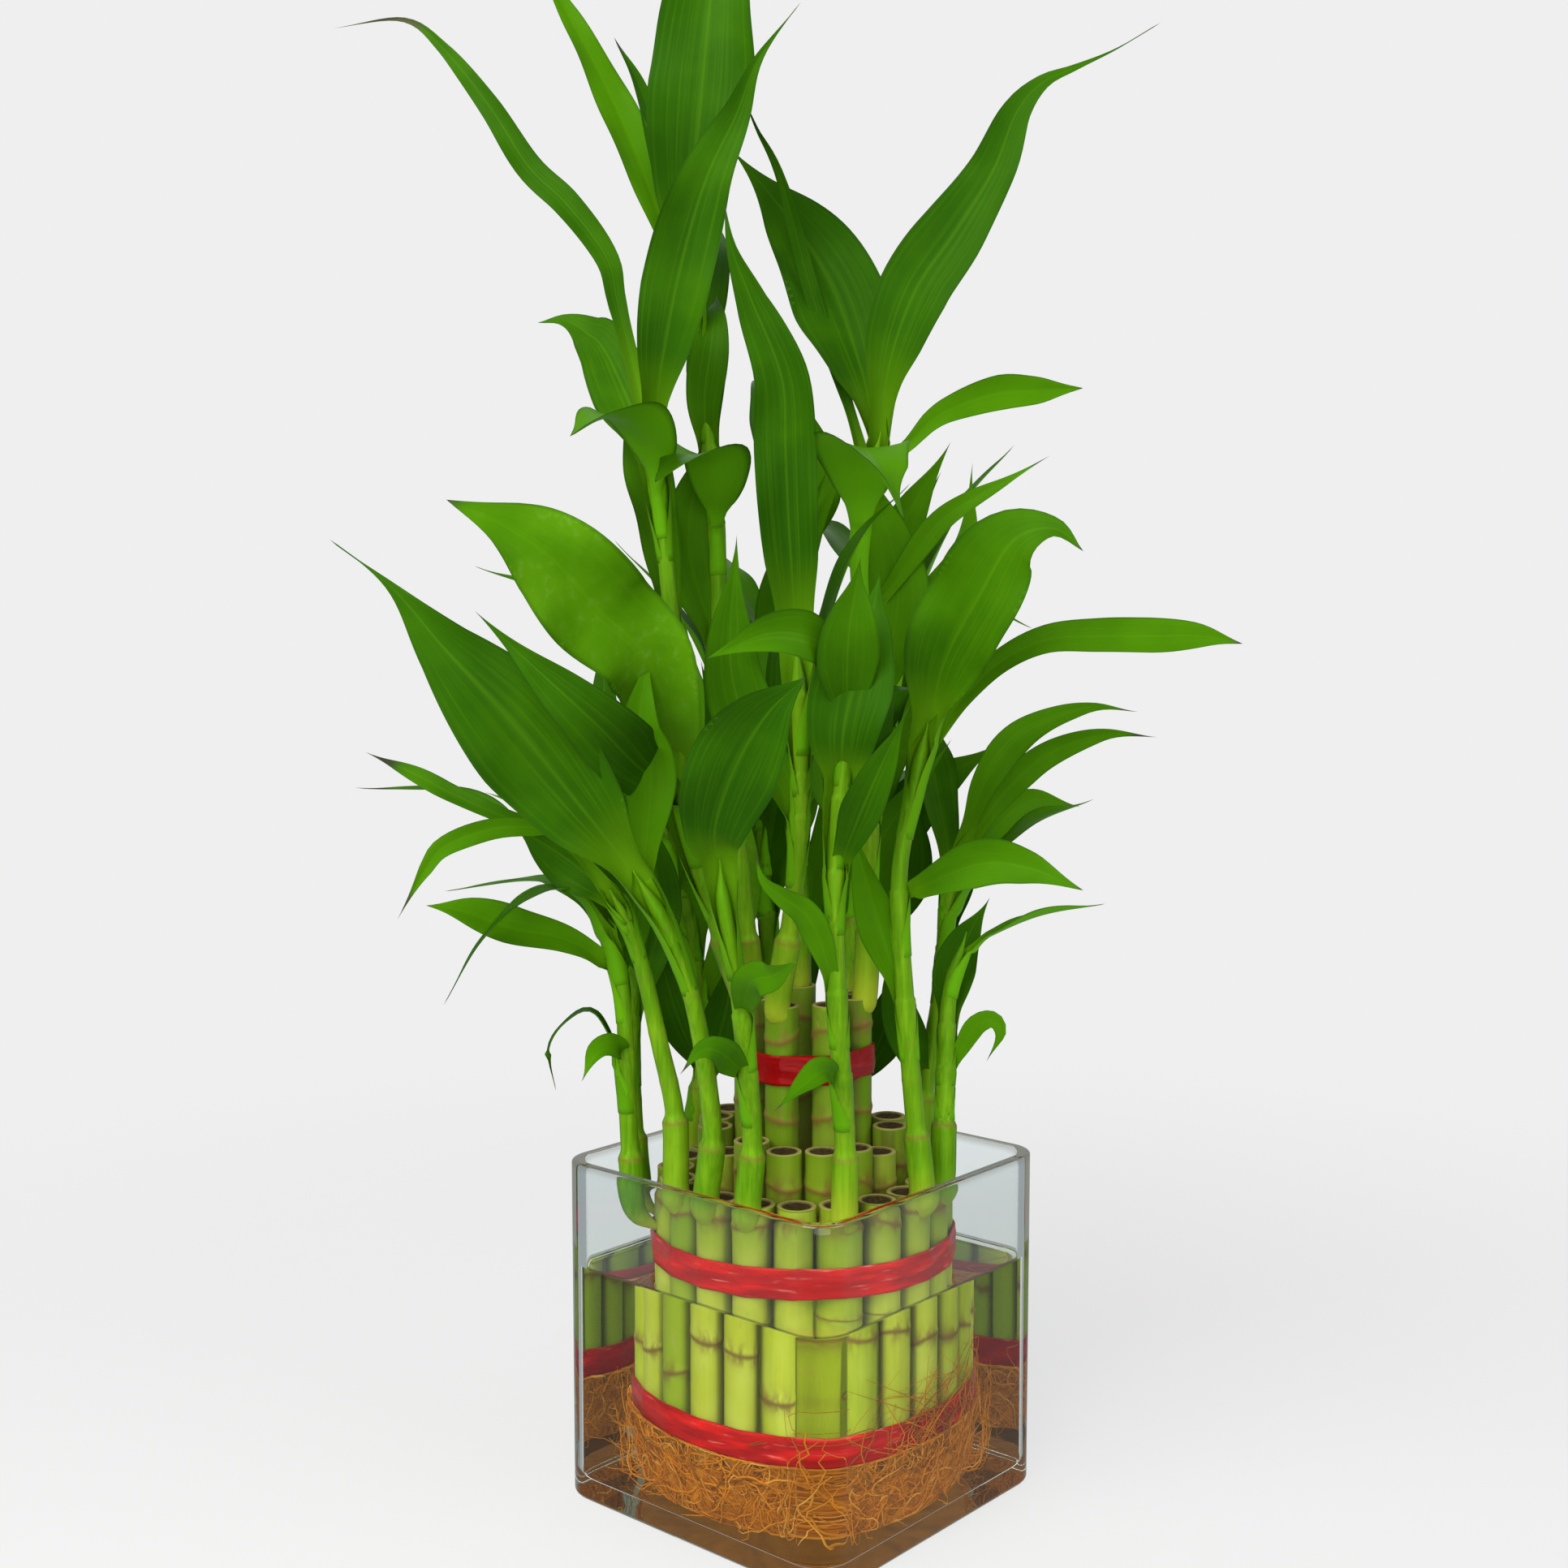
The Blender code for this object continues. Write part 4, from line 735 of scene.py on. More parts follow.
def ribbon_finish():
    """Red satin: fine threads along the band, painted pale glints, and painted shade in streaks along it,
    where it dips and on the upper band.
    """
    ribbon = Finish("ribbon", {"Roughness": 0.32, "Specular IOR Level": 0.25, "Specular Tint": RIBBON_GLINT,
                               "Coat Weight": 0.12, "Coat Roughness": 0.12, "Coat IOR": 1.4})
    across, along, dip = ribbon.marks(*RIBBON_MARKS)
    threads = ribbon.clouds(ribbon.spot(across * 40, along * 1500, 0.0), 1.0, 2.0)
    # painted sheen: streaks along the band, that also shape its folds
    folds_and_painted_sheen = ribbon.clouds(ribbon.spot(across * 1.5, along * 60, 0.0), 1.0, 3.0)
    painted_glints = ribbon.clouds(ribbon.spot(across * 3.5, along * 110, 3.0), 1.0, 3.0)
    ribbon.put({
        "Base Color": ribbon.layered(
            RIBBON_PAINTED_SHADE,
            (folds_and_painted_sheen.ramp(0.3, 0.75), RIBBON_RED),
            # painted shade where the band dips in a fold
            (dip.ramp(0.0, 1.0, 0.0, 0.6), RIBBON_PAINTED_SHADE),
            (abs(across).ramp(0.86, 0.97, 0.0, 0.4), RIBBON_EDGE),
            # painted glints on the satin
            (painted_glints.ramp(0.6, 0.74, 0.0, 0.45), RIBBON_PAINTED_GLINT),
            (ribbon.height().ramp(0.1, 0.125, 0.0, 0.75), RIBBON_SHADED),
        ),
        "Normal": ribbon.bump(threads, 0.06 * MM, 0.5, ribbon.bump(folds_and_painted_sheen, 0.9 * MM, 0.6)),
    })
    return ribbon


def root_finish():
    """Wet root fibres, from dark brown over orange to straw, with a faint painted glow of their own colour.
    """
    root = Finish("root", {"Roughness": 0.45, "Specular IOR Level": 0.15, "Specular Tint": ROOT_GLINT,
                           "Emission Strength": 0.2})
    tone, = root.marks("tone")
    shade = tone * 0.75 + root.clouds(root.place(), 120.0, 4.0) * 0.3
    colour = root.layered(ROOT_DARK, (shade.ramp(0.1, 0.55), ROOT_ORANGE), (shade.ramp(0.7, 1.1), ROOT_STRAW))
    fibres = root.clouds(root.place(), 1500.0, 3.0)
    # painted glow: the roots glow faintly in their own colour
    root.put({"Base Color": colour, "Emission Color": colour, "Normal": root.bump(fibres, 0.3 * MM, 0.5)})
    return root


def clear_finish(name, tint, refraction, murk, density, wet_refraction):
    """Clear glass or water, which lets lamps through to what stands in it and darkens along its depth.

    Where the two touch, the points' wet mark is 1, and light is bent only by the wet refraction. The rim mark
    tints the colour towards a painted dark shade along the vase's rim and its waterline.
    """
    clear = Finish(name, {"Roughness": 0.0, "IOR": refraction, "Transmission Weight": 1.0,
                          "Specular Tint": CLEAR_GLINT})
    rim, wet = clear.marks("rim", "wet")
    # rim tints the glass towards a painted dark shade
    clear.put({"Base Color": clear.mixed(rim, tint, GLASS_PAINTED_EDGE_SHADE)})
    lamp = clear.ray("Is Shadow Ray").math("MAXIMUM", clear.ray("Is Diffuse Ray"))
    mirrored = (clear.ray("Glossy Depth") + wet).ramp(1.0, 2.0)
    touching = clear.node("BsdfPrincipled", {}, {"Base Color": tint, "Roughness": 0.0, "IOR": wet_refraction,
                                                 "Transmission Weight": 1.0})
    through = clear.node("BsdfTransparent", {}, {"Color": tint})
    clear.surface(lamp.math("MAXIMUM", mirrored), clear.blend(wet, clear.body, touching), through)
    depth = clear.node("VolumeAbsorption", {}, {"Color": murk, "Density": density})
    clear.join(depth, clear.output.inputs["Volume"])
    return clear


def compass(radius, degrees, height=0.0):
    """The point that far from the middle, in that direction and at that height."""
    turn = math.radians(degrees)
    return Vector((radius * math.cos(turn), radius * math.sin(turn), height))


def in_metres(points):
    """Points that are given in millimetres, as vectors."""
    return [MM * Vector(point) for point in points]


def runs_of(points):
    """How far along a line each of its points is."""
    runs = [0.0]
    for before, after in zip(points, points[1:]):
        runs.append(runs[-1] + (after - before).length)
    return runs


def hump(value, middle, width):
    """A smooth hump, 1 at the middle, that dies away over width."""
    return math.exp(-((value - middle) / width) ** 2)


def humps(value, middles, width):
    return sum(hump(value, middle, width) for middle in middles)


def eased(value, low, high):
    """From 0 at low to 1 at high, level beyond and smooth between."""
    share = max(0.0, min(1.0, (value - low) / (high - low)))
    return share * share * (3 - 2 * share)


def smooth(points, share):
    """A point on the smooth line through the points, share of the way along it."""
    lengths = [(b - a).length for a, b in zip(points, points[1:])]
    run = share * sum(lengths)
    index = 0
    while index < len(lengths) - 1 and run > lengths[index]:
        run -= lengths[index]
        index += 1
    t = run / lengths[index]
    start = points[index]
    end = points[index + 1]
    before = points[index - 1] if index else 2 * start - end
    after = points[index + 2] if index + 2 < len(points) else 2 * end - start
    square = 2 * before - 5 * start + 4 * end - after
    cube = 3 * start - before - 3 * end + after
    return start + 0.5 * ((end - before) * t + square * t ** 2 + cube * t ** 3)


def smooth_line(points, count):
    """The smooth line through the points, as count steps of one length."""
    return [smooth(points, step / count) for step in range(count + 1)]


def angle_of(tier, index):
    """The direction of a cane of the outer or the upper tier, in degrees."""
    return tier.start + index * 360 / tier.count


def tier_outline(tier):
    """The closed line that a band drawn tight round a tier of canes follows."""
    outline = []
    for index in range(tier.count):
        degrees = angle_of(tier, index)
        for step in range(ARC_POINTS):
            spread = (step / (ARC_POINTS - 1) - 0.5) * 360 / tier.count
            outline.append(compass(tier.ring, degrees) + compass(tier.radius + GAP, degrees + spread))
    return outline


def stem_points(shoot):
    """The points of a shoot's stem as the solids have it, from GAP off its cane."""
    tier = shoot.tier
    degrees = angle_of(tier, shoot.index)
    if shoot.seat == "top":
        foot = compass(tier.ring + SEAT_SHIFT, degrees, tier.top + GAP)
        start = foot + Vector((0, 0, SEAT_RISE))
    else:
        foot = compass(tier.ring + tier.radius + GAP, degrees, tier.top - SIDE_DROP)
        start = compass(tier.ring + tier.radius + GAP + SEAT_REACH, degrees, tier.top - SIDE_DROP)
    knots = [start, *in_metres(shoot.path)]
    return [foot, *smooth_line(knots, len(knots) + 2)]


def stem_radii(points, leaves_side):
    """Stout at the foot, slimmer above its first joint, and tapering to the top.

    A stem that leaves its cane's side starts slim and swells past its knee.
    """
    radii = []
    runs = runs_of(points)
    for run in runs:
        slim = STEM_RADIUS + (STEM_TOP_RADIUS - STEM_RADIUS) * run / runs[-1]
        stout = max(0.0, min(1.0, 1.6 - 1.6 * run / STEM_THICK_PART))
        radius = slim + (STEM_FOOT_RADIUS - slim) * stout
        if leaves_side:
            radius *= min(1.0, 0.55 + 0.45 * run / STEM_KNEE)
        radii.append(radius)
    return radii


def at_height(points, height):
    """The point of the stem at a height, or its end."""
    for below, above in zip(points, points[1:]):
        if below.z <= height <= above.z:
            return below.lerp(above, (height - below.z) / max(above.z - below.z, MM))
    return points[-1].copy()


def leaf_frame(points, look, share, twist=0.0):
    """Where the rib of a leaf is, the direction across the blade there, and the way its face looks."""
    rib = smooth(points, share)
    along = (smooth(points, min(share + 0.02, 1.0)) - smooth(points, max(share - 0.02, 0.0))).normalized()
    face = Vector((0, 0, 1))
    if look is not UP:
        face = compass(math.cos(LEAF_LOOK_UP), look, math.sin(LEAF_LOOK_UP))
    across = along.cross(face).normalized()
    across = Matrix.Rotation(twist * share ** 1.5, 3, along) @ across
    return rib, across, across.cross(along)


def blade_width(share):
    """The width of a blade along its length, as a share of its widest."""
    if share < LEAF_WIDEST:
        rise = share / LEAF_WIDEST
        return LEAF_NECK + (1 - LEAF_NECK) * rise * rise * (3 - 2 * rise)
    fall = (share - LEAF_WIDEST) / (1 - LEAF_WIDEST)
    return max(math.cos(fall * math.pi / 2) ** 1.15, 0.05)


def blade_point(leaf, share, side):
    """A point of a blade: share along its length, side from -1 on one edge over 0 on the rib to 1."""
    points, width, look = leaf
    rib, across, face = leaf_frame(points, look, share)
    half = width / 2 * blade_width(share)
    fold = 0.75 - 0.55 * min(1.0, share / 0.35)
    lift = abs(side) * half * fold
    wave = 0.05 * width * side * math.sin(9 * share + 400 * width) * min(1.0, 2 * share)
    return rib + across * side * half * math.cos(fold / 2) + face * (lift + wave)


def guard(leaf, start):
    """The space that a blade needs to itself, from its share start on."""
    points = leaf[0]
    rows = 3 + round((points[-1] - points[0]).length / LEAF_ROW)
    bm = bmesh.new()
    bmesh.ops.create_grid(bm, x_segments=2, y_segments=rows, size=1.0)
    for vert in bm.verts:
        vert.co = blade_point(leaf, start + (1 - start) * (vert.co.y + 1) / 2, round(vert.co.x))
    bmesh.ops.triangulate(bm, faces=bm.faces)
    bmesh.ops.solidify(bm, geom=bm.faces, thickness=GUARD_THICK)
    tree = BVHTree.FromBMesh(bm)
    bm.free()
    return tree


def stem_guard(points, radii):
    """The space that a stem needs to itself, as six sided rings up its length."""
    spots = []
    faces = []
    for index, (point, radius) in enumerate(zip(points, radii)):
        spots += [point + compass(radius + 2 * GAP, 60 * side) for side in range(6)]
        if index:
            ring = 6 * index
            faces += [(ring - 6 + s, ring - 6 + (s + 1) % 6, ring + (s + 1) % 6, ring + s) for s in range(6)]
    return BVHTree.FromPolygons(spots, faces)


def listed_leaf(base, width, look, points):
    """A leaf from a row of the tables: the points of its rib, its width and the way it looks."""
    return [base, *in_metres(points)], width * MM, look


def spare_leaf(rng, points, height, toward):
    """A leaf by rule: it leaves the stem at height and arches over in the given direction."""
    base = at_height(points, height)
    heading = toward + rng.uniform(-45, 45)
    length = rng.uniform(55, 95) * MM
    climb = math.radians(rng.uniform(20, 62))
    tip = base + compass(length * math.cos(climb), heading, length * math.sin(climb))
    middle = (base + tip) / 2 + Vector((0, 0, rng.uniform(0.08, 0.2) * length))
    return [base, middle, tip], rng.uniform(10, 18) * MM, UP


def filling_leaf(rng, points, height, lean):
    """An upright leaf in the thick of the bunch: it leans to the right by lean degrees, and faces forward."""
    base = at_height(points, height)
    length = rng.uniform(55, 90) * MM
    tilt = math.radians(lean + rng.uniform(-26, 26))
    tip = base + length * Vector((math.sin(tilt), rng.uniform(-0.2, 0.3), math.cos(tilt)))
    bow = 0.12 * length * Vector((-math.cos(tilt), 0, math.sin(tilt)))
    middle = (base + tip) / 2 + bow * rng.choice((-1, 1))
    return [base, middle, tip], rng.uniform(12, 19) * MM, rng.uniform(252, 288)


def settle_leaves():
    """Every shoot's stem and leaves. A leaf by rule is drawn again until it is clear of all the others."""
    stems = {name: stem_points(shoot) for name, shoot in SHOOTS.items()}
    leaves = {name: [] for name in SHOOTS}
    tops = [Vector((0, 0, tier.top)) for tier in (OUTER, UPPER)]
    guards = [(None, stem_guard(tops, [UPPER.ring + UPPER.radius + RIBBON_THICK] * 2), None)]
    for name, shoot in SHOOTS.items():
        radii = stem_radii(stems[name], shoot.seat == "side")
        guards.append((name, stem_guard(stems[name], radii), None))

    def keep(name, leaf):
        leaves[name].append(leaf)
        guards.append((name, guard(leaf, 0.0), guard(leaf, SHEATHED)))

    def is_clear(name, leaf):
        whole = guard(leaf, 0.0)
        outer = guard(leaf, SHEATHED)
        for owner, body, blade_only in guards:
            if owner != name and whole.overlap(body):
                return False
            if owner == name and blade_only and outer.overlap(blade_only):
                return False
        return True

    def add_leaves(rng, draw, tries, swing, name, rule):
        count, low, high, aim = rule
        for index in range(count):
            height = (low + (high - low) * (index + 0.5) / count) * MM
            for _ in range(tries):
                leaf = draw(rng, stems[name], height, aim + swing * (-1) ** index)
                if is_clear(name, leaf):
                    keep(name, leaf)
                    break

    for name, shoot in SHOOTS.items():
        for height, width, look, *points in shoot.leaves:
            keep(name, listed_leaf(at_height(stems[name], height * MM), width, look, points))
    rng = random.Random(SEED)
    for name, shoot in SHOOTS.items():
        add_leaves(rng, spare_leaf, SPARE_TRIES, SPARE_SWING, name, shoot.spare)
    rng = random.Random(SEED + 3)
    for name, rule in FILLING.items():
        add_leaves(rng, filling_leaf, FILLING_TRIES, 0, name, rule)
    return stems, leaves


def blank(*marks):
    """An empty mesh, and the marks that its points carry for their finish."""
    bm = bmesh.new()
    return bm, {name: bm.verts.layers.float.new(name) for name in marks}


def mark(point, marks, **values):
    """Sets some of a point's marks."""
    for name, value in values.items():
        point[marks[name]] = value


def fixture(name, bm, finishes, slot, *nodes):
    """A finished piece that rides on the object and stands for the solids named."""
    data = bpy.data.meshes.new(name)
    bm.to_mesh(data)
    bm.free()
    data.polygons.foreach_set("use_smooth", [True] * len(data.polygons))
    for finish in finishes:
        data.materials.append(finish.material)
    piece = bpy.data.objects.new(name, data)
    bpy.context.scene.collection.objects.link(piece)
    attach(piece, BODY)
    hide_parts(*nodes)


def loft(bm, rings):
    """Faces between rings of points, each ring wound the same way."""
    for below, above in zip(rings, rings[1:]):
        for side in range(len(below)):
            after = (side + 1) % len(below)
            bm.faces.new((below[side], below[after], above[after], above[side]))


def fan(bm, ring, centre):
    """Faces from a ring to one point in its middle."""
    for side in range(len(ring)):
        bm.faces.new((ring[side], ring[(side + 1) % len(ring)], centre))


def tube(bm, points, radii, sides):
    """A closed tube through the points. Gives its rings of points."""
    rings = []
    across = Vector((1, 0, 0))
    if abs((points[1] - points[0]).normalized().x) > 0.9:
        across = Vector((0, 1, 0))
    for index, (point, radius) in enumerate(zip(points, radii)):
        ahead = (points[min(index + 1, len(points) - 1)] - points[max(index - 1, 0)]).normalized()
        across = (across - ahead * across.dot(ahead)).normalized()
        other = ahead.cross(across)
        ring = []
        for side in range(sides):
            turn = 2 * math.pi * side / sides
            ring.append(bm.verts.new(point + radius * (math.cos(turn) * across + math.sin(turn) * other)))
        rings.append(ring)
    loft(bm, rings)
    bm.faces.new(rings[0][::-1])
    bm.faces.new(rings[-1])
    return rings


def inside_glass(point, clearance):
    """The point in the bunch's frame, moved in so that it stays clear of the vase's inner walls."""
    if point.z > VASE_HEIGHT + MM:
        return point
    limit = VASE_INNER - clearance
    placed = TURNED @ point
    placed.x = max(-limit, min(limit, placed.x))
    placed.y = max(-limit, min(limit, placed.y))
    return TURNED.inverted() @ placed


# Vase and water

def square_ring(bm, half, height):
    """A ring of points round a square with rounded corners."""
    corner = max(VASE_CORNER - (VASE_HALF - half), 0.18 * half)
    reach = half - corner
    ring = []
    for start in (0, 90, 180, 270):
        turn = math.radians(45 + start)
        centre = Vector((math.copysign(reach, math.cos(turn)), math.copysign(reach, math.sin(turn)), height))
        spots = [compass(corner, start + 90 * step / CORNER_STEPS) for step in range(CORNER_STEPS + 1)]
        spots = [centre + spot for spot in spots]
        spots.insert(0, spots[0] + compass(2 * reach, start - 90) * 0.25)
        spots.append(spots[-1] + compass(2 * reach, start + 180) * 0.25)
        ring += [bm.verts.new(spot) for spot in spots]
    return ring


def squared_body(bm, profile):
    """A closed square body, from its profile of (half width, height) points.

    Gives its rings of points, and the points in the middle of the first and of the last.
    """
    rings = [square_ring(bm, half, height) for half, height in profile]
    first = bm.verts.new((0, 0, profile[0][1]))
    last = bm.verts.new((0, 0, profile[-1][1]))
    loft(bm, rings[::-1])
    fan(bm, rings[0], first)
    fan(bm, rings[-1][::-1], last)
    return rings, first, last


def rounding(across, up, radius, start, end, steps):
    """Points of an arc in the profile round a middle that is across and up."""
    points = []
    for step in range(steps + 1):
        turn = math.radians(start + (end - start) * step / steps)
        points.append((across + radius * math.cos(turn), up + radius * math.sin(turn)))
    return points


def vase_profile():
    """From the middle of the vase's floor, up its inside, over the rim and down to its foot."""
    lip = VASE_HEIGHT - RIM_ROUND
    profile = [(VASE_INNER * share, VASE_BASE) for share in (0.25, 0.6, 0.9)]
    profile += rounding(VASE_INNER - FLOOR_BEND, VASE_BASE + FLOOR_BEND, FLOOR_BEND, -90, 0, 5)
    profile += [(VASE_INNER, VASE_BASE + 3 * MM)]
    profile += [(VASE_INNER, WET_TOP + rise * MM) for rise in (0, 0.05, 0.5, 0.9)]
    profile += [(VASE_INNER, VASE_HEIGHT - 3 * RIM_ROUND)]
    profile += rounding(VASE_INNER + RIM_ROUND, lip, RIM_ROUND, 180, 90, 4)
    profile += rounding(VASE_HALF - RIM_ROUND, lip, RIM_ROUND, 90, 0, 4)
    profile += [(VASE_HALF, VASE_HEIGHT - 3 * RIM_ROUND), (VASE_HALF, VASE_FOOT + 2 * MM)]
    profile += rounding(VASE_HALF - VASE_FOOT, VASE_FOOT, VASE_FOOT, 0, -90, 6)
    profile += [(VASE_HALF * share, 0.0) for share in (0.9, 0.6, 0.25)]
    return profile


def make_vase(glass):
    bm, marks = blank("wet", "rim")
    profile = vase_profile()
    dry = profile.index((VASE_INNER, WET_TOP + WET_EDGE))
    rings, middle, _ = squared_body(bm, profile)
    for point in bm.verts:
        # rim: painted dark shade along the rim, and along the waterline where the water meets the glass
        lipped = point.co.z > VASE_HEIGHT - 1.5 * RIM_ROUND
        at_waterline = abs(point.co.z - WET_TOP - 0.25 * MM) < 0.3 * MM
        mark(point, marks, rim=0.35 * lipped + at_waterline)
    for point in sum(rings[:dry], [middle]):
        mark(point, marks, wet=1.0)
    fixture("glass_vase", bm, [glass], "glass", "vase")


def make_water(water):
    """Still water that fills the vase round the canes, drawn a little way up the glass."""
    bm, marks = blank("wet")
    half = VASE_INNER - WATER_GAP
    profile = [(half * share, WATER_TOP) for share in (0.25, 0.6)]
    for step in range(7):
        share = step / 6
        profile.append((half - MENISCUS_WIDE + MENISCUS_WIDE * share, WATER_TOP + MENISCUS * share ** 2.5))
    brim = len(profile)
    profile += [(half, WET_TOP - WET_EDGE), (half, WATER_TOP - 3 * MM), (half, VASE_BASE + 3 * MM)]
    profile += rounding(half - FLOOR_BEND, VASE_BASE + WATER_GAP + FLOOR_BEND, FLOOR_BEND, 0, -90, 5)
    profile += [(half * share, VASE_BASE + WATER_GAP) for share in (0.9, 0.6, 0.25)]
    rings, _, foot = squared_body(bm, profile)
    for point in sum(rings[brim:], [foot]):
        mark(point, marks, wet=1.0)
    fixture("vase_water", bm, [water], "water", "water")


# Canes

def cut_cane(bm, marks, rng, ring, degrees, radius, top, joints):
    """One cane, from its foot to its cut top, with a scar round each joint."""
    middle = compass(ring, degrees)
    brim = top - CUT_ROUND
    tone = rng.uniform(0.0, 1.0)
    slants = []
    for joint in joints:
        slants.append((joint, rng.uniform(0.2, 2.6) * MM, rng.uniform(0, 360), rng.uniform(0.0, 1.6) * MM))
    heights = [CANE_FOOT + step * (brim - CANE_FOOT) / CANE_ROWS for step in range(CANE_ROWS + 1)]
    heights += [joint + offset * MM for joint in joints for offset in JOINT_ROWS]
    rings = []
    for height in sorted(height for height in heights if height <= brim):
        scar = humps(height, joints, SCAR_WIDTH)
        stain = humps(height, joints, STAIN_WIDTH)
        wide = radius + NODE_RIDGE * humps(height, joints, RIDGE_WIDTH)
        wide += CANE_UNEVEN * noise.noise(Vector((degrees, height * 60, 0)))
        points = []
        for side in range(CANE_SIDES):
            turn = 360 * side / CANE_SIDES
            lift = 0.0
            for joint, slant, facing, dip in slants:
                toward = math.cos(math.radians(turn - facing))
                lift += hump(height, joint, SLANT_WIDTH) * (slant * toward - dip * max(toward, 0) ** 3)
            point = bm.verts.new(middle + compass(wide, turn, height + lift))
            # beside and from_corner set the painted crevice shade: on the sides that face the neighbours,
            # away from the vase's corners
            beside = abs(math.sin(math.radians(turn - degrees)))
            from_corner = math.degrees(math.atan2(point.co.y, point.co.x) + BUNCH_TURN) % 90 - 45
            # outward and from_corner set the painted glow on the outer side of canes near the vase's corners
            outward = Vector((point.co.x, point.co.y, 0)).length > ring
            mark(point, marks, ring=scar, stain=stain, tone=tone,
                 corner=hump(from_corner, 0, CORNER_GLOW) * outward,
                 groove=eased(beside, *CREVICE_SHADE_SIDES) * eased(abs(from_corner), *CREVICE_SHADE_BARE))
            points.append(point)
        rings.append(points)
    sunk = rng.uniform(0.2, 0.6) * MM
    hollow = sunk / CUT_ROUND
    for share, drop, cut, pith in (*CUT_RINGS, (0.7, hollow, 1, 1), (0.4, hollow, 1, 1)):
        points = []
        for side in range(CANE_SIDES):
            spot = compass(radius * share, 360 * side / CANE_SIDES, top - drop * CUT_ROUND)
            rough = CUT_ROUGH * noise.noise(spot * 900) * pith
            points.append(bm.verts.new(middle + spot + Vector((0, 0, rough))))
            mark(points[-1], marks, cut=cut, pith=pith, tone=tone)
        rings.append(points)
    centre = bm.verts.new(middle + Vector((0, 0, top - sunk)))
    mark(centre, marks, cut=1, pith=1)
    loft(bm, rings)
    fan(bm, rings[-1], centre)
    fan(bm, rings[0][::-1], bm.verts.new(middle + Vector((0, 0, CANE_FOOT))))


def lone_cane(tier, index, joints):
    """What cut_cane is told of a cane that is a node by itself."""
    return tier.ring, angle_of(tier, index), tier.radius, tier.top, joints


def cane_plan(rng):
    """Each node's canes: ring, direction, radius, top and joints, at the heights that the solids have."""
    for index in range(OUTER.count):
        joints = [rng.uniform(*OUTER_JOINT) * MM, OUTER_HIGH_JOINT]
        yield f"cane_outer_{index + 1:02d}", [lone_cane(OUTER, index, joints)]
    share = INNER.count // INNER_GROUPS
    for number in range(INNER_GROUPS):
        group = []
        for index in range(share):
            degrees = INNER.start + number * 360 / INNER_GROUPS + (index - (share - 1) / 2) * INNER_STEP
            top = INNER.top - rng.choice(INNER_DROPS) * MM
            group.append((INNER.ring, degrees, INNER.radius - INNER_SLIMMER, top, [top - INNER_JOINT_DROP]))
        yield f"canes_inner_{number + 1}", group
    for index in range(UPPER.count):
        joints = [rng.uniform(*UPPER_JOINT) * MM, UPPER_HIGH_JOINT]
        yield f"cane_upper_{index + 1}", [lone_cane(UPPER, index, joints)]


def make_canes(cane):
    """Both tiers of canes, a piece for each node of the solids."""
    looks = random.Random(SEED + 1)
    for node, group in cane_plan(random.Random(SEED)):
        bm, marks = blank(*CANE_MARKS)
        for plan in group:
            cut_cane(bm, marks, looks, *plan)
        bm.transform(TURNED)
        fixture("cut_" + node, bm, [cane], "cane", node)


# Ribbons

def outward(line, index):
    """The direction away from the bunch at a point of a closed line round it."""
    ahead = (line[(index + 1) % len(line)] - line[index - 1]).normalized()
    return ahead.cross(Vector((0, 0, 1)))


def ribbon_section(bm, marks, spot, out, low, run, seed):
    """One section across a ribbon: its gathered outer face, then its inner face."""
    outer = []
    inner = []
    for column in range(RIBBON_COLUMNS + 1):
        share = column / RIBBON_COLUMNS
        folds = noise.noise(Vector((share * 3.2 + 1.2 * run / (20 * MM), run / (9 * MM) * 0.35, seed)))
        crimp = noise.noise(Vector((share * 6.0, run / (3 * MM), seed + 5)))
        bulge = RIBBON_THICK * (0.75 + 0.55 * math.sin(math.pi * share)) + (0.4 * folds + 0.12 * crimp) * MM
        edge = 0.35 * MM * noise.noise(Vector((run / (12 * MM), 3 * round(share), seed + 9)))
        height = low + RIBBON_WIDTH * share + edge
        # dip: painted shade in the folds
        outer.append((max(bulge, RIBBON_THINNEST), height, 2 * share - 1, max(0.0, 0.5 - 2.2 * folds)))
        inner.append((0.0, height, 2 * share - 1, 1.0))
    points = []
    for bulge, height, across, dip in outer + inner[::-1]:
        points.append(bm.verts.new(Vector((spot.x, spot.y, 0)) + out * bulge + Vector((0, 0, height))))
        mark(points[-1], marks, across=across, along=run, dip=min(dip, 1.0))
    return points


def tie_ribbon(satin, node, tier, low):
    """A satin band drawn tight round a tier, with its glued end lapped over at the back."""
    bm, marks = blank(*RIBBON_MARKS)
    seed = 10.0 * len(node) + low / MM
    corners = tier_outline(tier)
    line = []
    for corner, after in zip(corners, corners[1:] + corners[:1]):
        steps = max(1, round((after - corner).length / RIBBON_STEP))
        line += [corner.lerp(after, step / steps) for step in range(steps)]
    runs = runs_of(line)
    total = runs[-1] + (line[0] - line[-1]).length
    sections = []
    for index, spot in enumerate(line):
        wrapped = min(runs[index], total - runs[index])
        sections.append(ribbon_section(bm, marks, spot, outward(line, index), low, wrapped, seed))
    loft(bm, (sections + sections[:1])[::-1])
    back = max(range(len(line)), key=lambda index: line[index].y)
    lap = []
    for step in range(LAP_STEPS):
        index = (back + step) % len(line)
        out = outward(line, index)
        lap.append(ribbon_section(bm, marks, line[index] + out * RIBBON_THICK, out, low, runs[index], seed))
    loft(bm, lap[::-1])
    bm.faces.new(lap[0])
    bm.faces.new(lap[-1][::-1])
    bm.transform(TURNED)
    fixture("satin_" + node, bm, [satin], "ribbon", node)


# Roots

